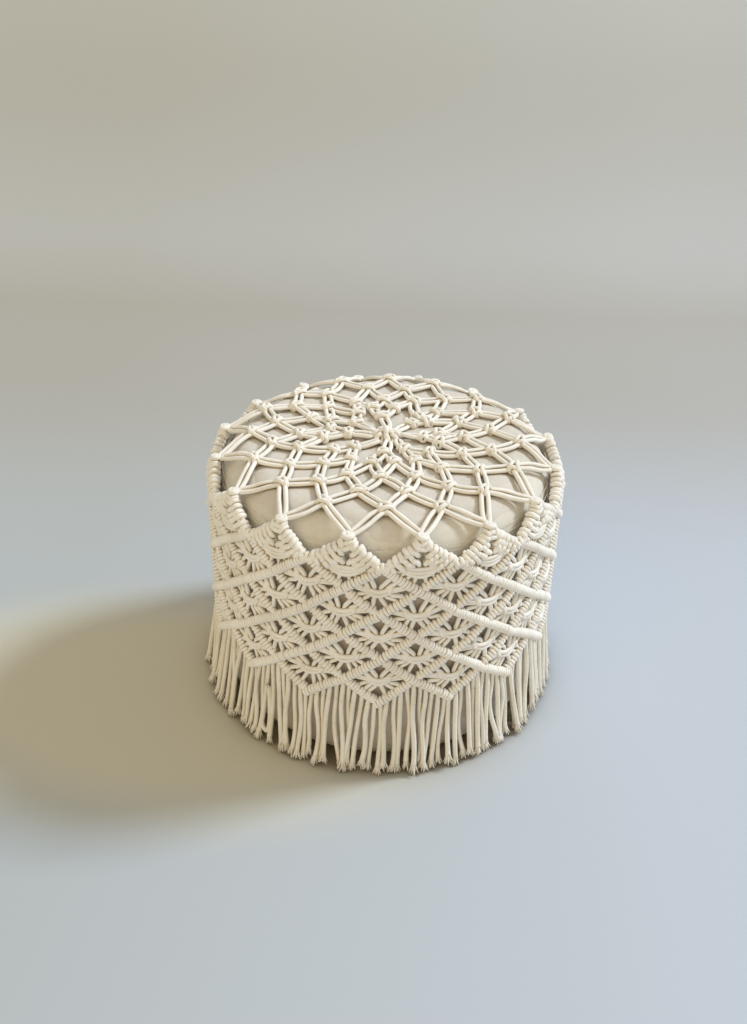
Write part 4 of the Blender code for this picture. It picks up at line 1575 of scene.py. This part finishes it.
        def hitch(side: int, x: float, y: float, across: float, deep: float, thick: float,
                  turn: float) -> None:
            """Lays one turn of cord over the scallop's edge, tilted by a turn."""
            centre = at(side * x, y, 1.6 * MM)
            along = at(side * (x + 2 * MM), y + turn * 2 * MM, 1.6 * MM) - centre
            out = unit((centre[0], centre[1], 0.3 * math.hypot(centre[0], centre[1])))
            work.wrap(centre, along + np.array((0, 0, rng.normal(0, 0.1))) * MM, out, across, deep, thick)

        for side in (-1, 1):
            core = [at(side * x * MM, (slope * x + 4.5) * MM, 1.4 * MM) for x in (2.0, 12.0, 22.0, 32.0)]
            work.run(core, thick=1.9)
            for row, (count, first, pitch, below) in enumerate(self.hitch_rows):
                for k in range(count):
                    x = (first + pitch * k + rng.normal(0.0, 0.5)) * MM
                    size = (1.08 - 0.05 * row - 0.03 * k) * rng.uniform(0.92, 1.08)
                    lean = slope * (1.0 + 0.3 * row) + rng.normal(0.0, 0.35)
                    y = slope * x + (below + rng.normal(0.0, 0.5)) * MM
                    hitch(side, x, y, 3.3 * MM * size, 3.7 * MM * size, rng.uniform(1.25, 1.45), lean)
            for k in range(2):
                x = (4.4 + 6.2 * k) * MM
                hitch(side, x, 24.6 * MM + 1.6 * k * MM, 2.6 * MM, 3.0 * MM, 1.15, 0.9 + rng.normal(0.0, 0.2))
            for shift in (-2.4, 2.4):
                work.run([at(side * 24 * MM, (slope * 24 + 3 + shift) * MM, 1.2 * MM),
                          at(side * 31 * MM, (slope * 31 + 3 + shift) * MM, 2.4 * MM),
                          at(side * 37 * MM, (slope * 37 + 2 + shift * 0.8) * MM, 2.2 * MM),
                          at(side * 42 * MM, fall + (1 + shift * 0.6) * MM, 1.6 * MM)], thick=1.1)
            for k in range(4):
                x = (7.5 + 8.0 * k + rng.normal(0.0, 0.7)) * MM
                foot = fall + (1.0 - x / self.half) * self.drop
                work.run([at(side * (2.6 + 4.6 * k) * MM, (35 - 1.6 * k) * MM, -0.4 * MM),
                          at(side * (4.0 + 6.2 * k) * MM, (40 - 2.0 * k) * MM, 1.0 * MM),
                          at(side * x, foot - 1.5 * MM, 0.2 * MM)], thick=rng.uniform(0.95, 1.08))
        work.run([at(0.0, -4.5 * MM, 1.0 * MM), at(0.0, 2.0 * MM, 2.0 * MM), at(0.0, 11.0 * MM, 2.0 * MM)],
                 thick=[1.7, 2.2, 1.9])
        for k, shift in enumerate((-5.2 * MM, 0.6 * MM, 6.2 * MM)):
            centre = at(rng.normal(0.0, 0.6) * MM, 2.2 * MM + shift, 1.8 * MM)
            out = unit((centre[0], centre[1], 0.4 * math.hypot(centre[0], centre[1])))
            axis = np.array((0, 0, 1.0)) + np.cross(out, (0, 0, 1.0)) * rng.normal(0.0, 0.3)
            work.wrap(centre, axis, out, (4.9 + 0.6 * k) * MM, 4.1 * MM, thick=rng.uniform(1.15, 1.3))
        for side in (-1, 1):
            centre = at(side * 5.2 * MM, 3.0 * MM, 2.2 * MM)
            across = np.cross(outward_at(centre), (0, 0, 1.0))
            work.wrap(centre, across + np.array((0, 0, 0.5 * side)), (0, 0, 1), 4.6 * MM, 3.2 * MM,
                      thick=0.95)
        lean = rng.normal(0.0, 1.2) * MM
        for row in range(3):
            far = (34 - 5.0 * row + rng.normal(0.0, 1.0)) * MM
            base = (29.5 + 4.5 * row) * MM
            sag = 4.4 * MM
            half = ((1.0, -1.7, 1.0, -0.6), (0.7, -0.8, 0.6, 1.6), (0.34, 0.1, 0.0, 3.2))
            band = [*((-x, y, -tilt, out) for x, y, tilt, out in half), (0.0, 0.4, 0.0, 3.8), *half[::-1]]
            points = [at(far * x, base + sag * y + lean * tilt, out * MM) for x, y, tilt, out in band]
            work.run(points, thick=rng.uniform(1.0, 1.12))

    def valley_knot(self, work: CordWork, index: int, rng: np.random.Generator) -> None:
        """The knot where two scallops meet and two bars start."""
        form = self.form
        centre = form.on_sleeve(index * form.step, form.valley - 0.5 * MM, 2.6 * MM)
        out = outward_at(centre)
        across = np.cross(out, (0, 0, 1.0))
        for shift, tilt in ((-5.0, 0.5), (0.0, 0.0), (5.0, -0.5)):
            axis = across + np.array((0, 0, tilt + rng.normal(0, 0.15)))
            work.wrap(centre + across * shift * MM, axis, out, 4.2 * MM, 3.2 * MM, thick=1.02)

    def build(self) -> list[bpy.types.Object]:
        """Makes the sleeve in pieces small enough for one mesh each."""
        rng = np.random.default_rng(self.seed)
        edge = CordWork(self.cord)
        for index in range(self.form.repeats):
            self.scallop(edge, index, rng)
            self.valley_knot(edge, index, rng)
        works = [*self.bars(rng), ("scallops", edge), *self.diamonds(rng)]
        made = [work.mesh_object(name) for name, work in works]
        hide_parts("skirt")
        for piece in made:
            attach(piece, Body.COVER.value)
        return made


# ---- the fringe --------------------------------------------------------------------------------
@dataclass
class Fringe:
    """The hanging strands, in one bunch under each notch of the hem."""

    form: PoufForm = FORM
    cord: float = 3.0 * MM
    strands: int = 11
    join: float = 99 * MM
    flare: float = 13 * MM
    floor: float = 2 * MM
    hairs: int = 16
    hair: float = 0.95 * MM
    blend_drop: float = 30 * MM
    looped: tuple = (14, 3)
    loop_size: float = 5.5 * MM
    seed: int = 41

    def strand(self, index: int, k: int, clump: float, rng: np.random.Generator) -> np.ndarray:
        """The path of one strand, from the hem to just above the floor.

        Args:
            index: the bunch's number.
            k: the strand's number in the bunch.
            clump: how far along the hem its lower end drifts, towards its neighbours.
            rng: the shifts of handwork.

        Returns:
            Its points from top to tip.
        """
        form = self.form
        angle = (index + (k + 0.5) / self.strands) * form.step + rng.normal(0.0, 0.6) * MM / form.sleeve
        head = form.hem(angle) - 1 * MM
        tip = self.floor + 8 * MM + min(abs(rng.normal(0.0, 5.0)), 14.0) * MM
        wave = rng.normal(0.0, 1.6) * MM
        phase = rng.uniform(0.0, TURN)
        layer = (1.4 if k % 2 else -1.8) * MM
        spread = rng.normal(0.0, 1.8) * MM
        points = []
        for t in np.linspace(0.0, 1.0, 10):
            z = head + (tip - head) * t
            sway = clump * t ** 1.3 + wave * (math.sin(phase + 5.5 * t) - math.sin(phase)) * min(1.0, 2.5 * t)
            away = self.flare * t ** 1.15 + layer * min(1.0, 4 * t) + spread * t
            points.append(polar(form.sleeve_radius(z) + away, angle + sway / form.sleeve, z))
        if (index, k) == self.looped:
            points = self.turn_up(points)
        return hand_pull(np.array(points))

    def turn_up(self, points: list[np.ndarray]) -> list[np.ndarray]:
        """Turns the lower end of a strand up again in a small loop.

        Args:
            points: the strand's points from top to tip.

        Returns:
            Its new points.
        """
        last, size = points[-2], self.loop_size
        out = outward_at(last)
        side = np.cross((0.0, 0.0, 1.0), out)
        places = ((1.0, -1.6, 0.0), (2.0, -0.4, 0.0), (2.2, 3.6, -0.4), (1.6, 10.0, -1.1))
        turned = [last + size * (side * x + np.array((0.0, 0.0, z)) + out * away) for x, z, away in places]
        return [*points[:-1], *turned]

    def tuft(self, hair: CordWork, path: np.ndarray, rng: np.random.Generator) -> None:
        """Frays a strand's tip into fine hairs."""
        tip, along = path[-1], unit(path[-1] - path[-2])
        side = unit(np.cross(along, (0.3, 0.7, 0.2)))
        other = np.cross(along, side)
        for k in range(self.hairs):
            turn = TURN * (k + rng.uniform(-0.3, 0.3)) / self.hairs
            spread = rng.uniform(0.5, 1.3)
            away = side * math.cos(turn) + other * math.sin(turn)
            length = rng.uniform(6.5, 10.5) * MM
            end = tip + along * length + away * self.cord * 1.75 * spread
            end[2] = max(end[2], 0.8 * MM)
            middle = tip + along * length * 0.5 + away * self.cord * 1.05 * spread
            start = tip - along * 2.5 * MM + away * self.cord * 0.62
            hair.run([start, middle, end], thick=[1.0, 0.9, 0.45], spacing=3.5 * MM)

    def build(self) -> list[bpy.types.Object]:
        """Makes the bunches and the ring of strand tops inside the notches."""
        rng = np.random.default_rng(self.seed)
        heads = CordWork(self.cord, pulled=False)
        made = []
        for index in range(self.form.repeats):
            bunch = CordWork(self.cord, pulled=False)
            hair = CordWork(self.hair, sides=4, pulled=False)
            clump = 0.0
            for k in range(self.strands):
                clump = rng.normal(0.0, 4.2) * MM if rng.random() < 0.55 else clump * 0.6 - 1.5 * MM
                path = smooth_path(self.strand(index, k, clump, rng), 80)
                thick = rng.uniform(0.92, 1.04)
                split = int(np.argmax(path[:, 2] < self.join))
                if split > 3:
                    heads.run(path[:split + 1], thick=[thick] * 12 + [thick * 0.94])
                lower = path[max(split - 1, 0):]
                bunch.run(lower, thick=[thick] * 12 + [thick * 1.15])
                self.tuft(hair, lower, rng)
            # The strands take the darker copy of the cord, which is painted shade.
            strands = bunch.mesh_object(f"strands_{index + 1:02d}", SHADED_HANGING_CORD)
            tufts = hair.mesh_object(f"tufts_{index + 1:02d}", COMBED)
            body = f"fringe_{index + 1:02d}"
            middle = (index + 0.5) * self.form.step
            start = self.form.on_sleeve(middle, self.join + 2 * MM)
            end = self.form.on_sleeve(middle, self.join - self.blend_drop)
            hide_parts(body)
            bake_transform(strands)
            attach(tufts, body)
            made += [strands, tufts]
        # The strand tops take the same copy with painted shade.
        tops = heads.mesh_object("strand_tops", SHADED_HANGING_CORD)
        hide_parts("fringe_heading")
        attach(tops, Body.COVER.value)
        return [*made, tops]


# ---- the studio --------------------------------------------------------------------------------
@dataclass
class Studio:
    """The floor that sweeps up into a wall, the daylight and the camera.

    The camera stands at a distance from a point above the pouf's foot, tilted down, and is then
    turned a little across, down and in roll, all in radians.
    """

    tilt: float = 0.5924
    distance: float = 1.372
    focus: float = 0.18
    lens: float = 37.954
    across: float = 0.00968
    down: float = 0.02774
    roll: float = 0.0335
    bend: float = 0.9
    half_width: float = 3.5
    light_distance: float = 3.0

    def backdrop(self) -> bpy.types.Object:
        """One sheet of paper: floor, a wide bend, and wall."""
        bm = bmesh.new()
        profile = [(y, 0.0) for y in (-3.0, -1.5, 0.0, 0.6)]
        for turn in np.linspace(0.0, math.pi / 2, 13)[1:]:
            profile.append((self.bend * (1 + math.sin(turn)), self.bend * (1 - math.cos(turn))))
        places = np.linspace(-self.half_width, self.half_width, 9)
        rows = [[bm.verts.new((x, y, z)) for x in places] for y, z in profile]
        for low, high in zip(rows, rows[1:]):
            for k in range(len(low) - 1):
                bm.faces.new((low[k], low[k + 1], high[k + 1], high[k]))
        mesh = mesh_of(bm, "studio_paper")
        made = bpy.data.objects.new("studio_paper", mesh)
        mesh.materials.append(PAPER.material())
        bpy.context.scene.collection.objects.link(made)
        return made

    def daylight(self, name: str, towards: Point, spread: float, strength: float, colour: tuple) -> None:
        """Lets in daylight from one side.

        Args:
            name: the light's name.
            towards: the direction in which it stands.
            spread: the angle that it fills, which softens its shadows.
            strength: in watts per square metre.
            colour: its colour.
        """
        light = bpy.data.lights.new(name, "SUN")
        light.angle = spread
        light.energy = strength
        light.color = colour
        made = bpy.data.objects.new(name, light)
        made.location = Vector(towards) * self.light_distance
        made.rotation_euler = (-Vector(towards)).to_track_quat("-Z", "Y").to_euler()
        bpy.context.scene.collection.objects.link(made)

    def air(self, colour: tuple, strength: float) -> None:
        """Sets the light that comes from all round."""
        world = bpy.data.worlds.new("soft_room")
        world.use_nodes = True
        shade = world.node_tree.nodes["Background"]
        shade.inputs["Color"].default_value = (*colour, 1.0)
        shade.inputs["Strength"].default_value = strength
        bpy.context.scene.world = world

    def camera(self) -> None:
        """Stands the camera above and in front of the pouf."""
        ahead = np.array((0.0, math.cos(self.tilt), -math.sin(self.tilt)))
        place = -self.distance * ahead + np.array((0.0, 0.0, self.focus))
        right = np.array((1.0, 0.0, 0.0))
        up = np.cross(right, ahead)
        turned = ahead * math.cos(self.across) - right * math.sin(self.across)
        right = right * math.cos(self.across) + ahead * math.sin(self.across)
        ahead = turned * math.cos(self.down) + up * math.sin(self.down)
        up = np.cross(right, ahead)
        right, up = (right * math.cos(self.roll) + up * math.sin(self.roll),
                     up * math.cos(self.roll) - right * math.sin(self.roll))
        data = bpy.data.cameras.new("camera")
        data.lens = self.lens
        data.sensor_width = 36.0
        data.clip_end = 50.0
        made = bpy.data.objects.new("camera", data)
        bpy.context.scene.collection.objects.link(made)
        made.matrix_world = Matrix((*np.stack((right, up, -ahead, place), 1).tolist(), (0, 0, 0, 1)))
        bpy.context.scene.camera = made

    def build(self) -> None:
        """Sets up the whole studio."""
        self.backdrop()
        self.daylight("window", (0.80, 0.31, 0.74), math.radians(12), 2.42, (0.86, 0.935, 1.0))
        self.daylight("warm_room", (-0.45, -1.0, 0.42), math.radians(70), 0.78, (1.0, 0.69, 0.18))
        self.air((0.985, 0.965, 0.905), 0.52)
        self.camera()
        bpy.context.scene.view_settings.view_transform = "Standard"


def main() -> None:
    """Builds every sub-assembly on the frame, in order."""
    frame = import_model()
    nodes = frame["nodes"]
    closing = BaseZip()
    closing.dress(nodes)
    for name, maker in (("pouf", StuffedPouf()), ("base", QuiltedBase()), ("zip", closing), ("net", TopNet()),
                        ("rosette", CentreRosette()), ("sleeve", KnottedSleeve()), ("fringe", Fringe())):
        for piece in maker.build():
            LOG.info("%s: %s with %d faces", name, piece.name, len(piece.data.polygons))
    Studio().build()


if __name__ == "__main__":
    main()
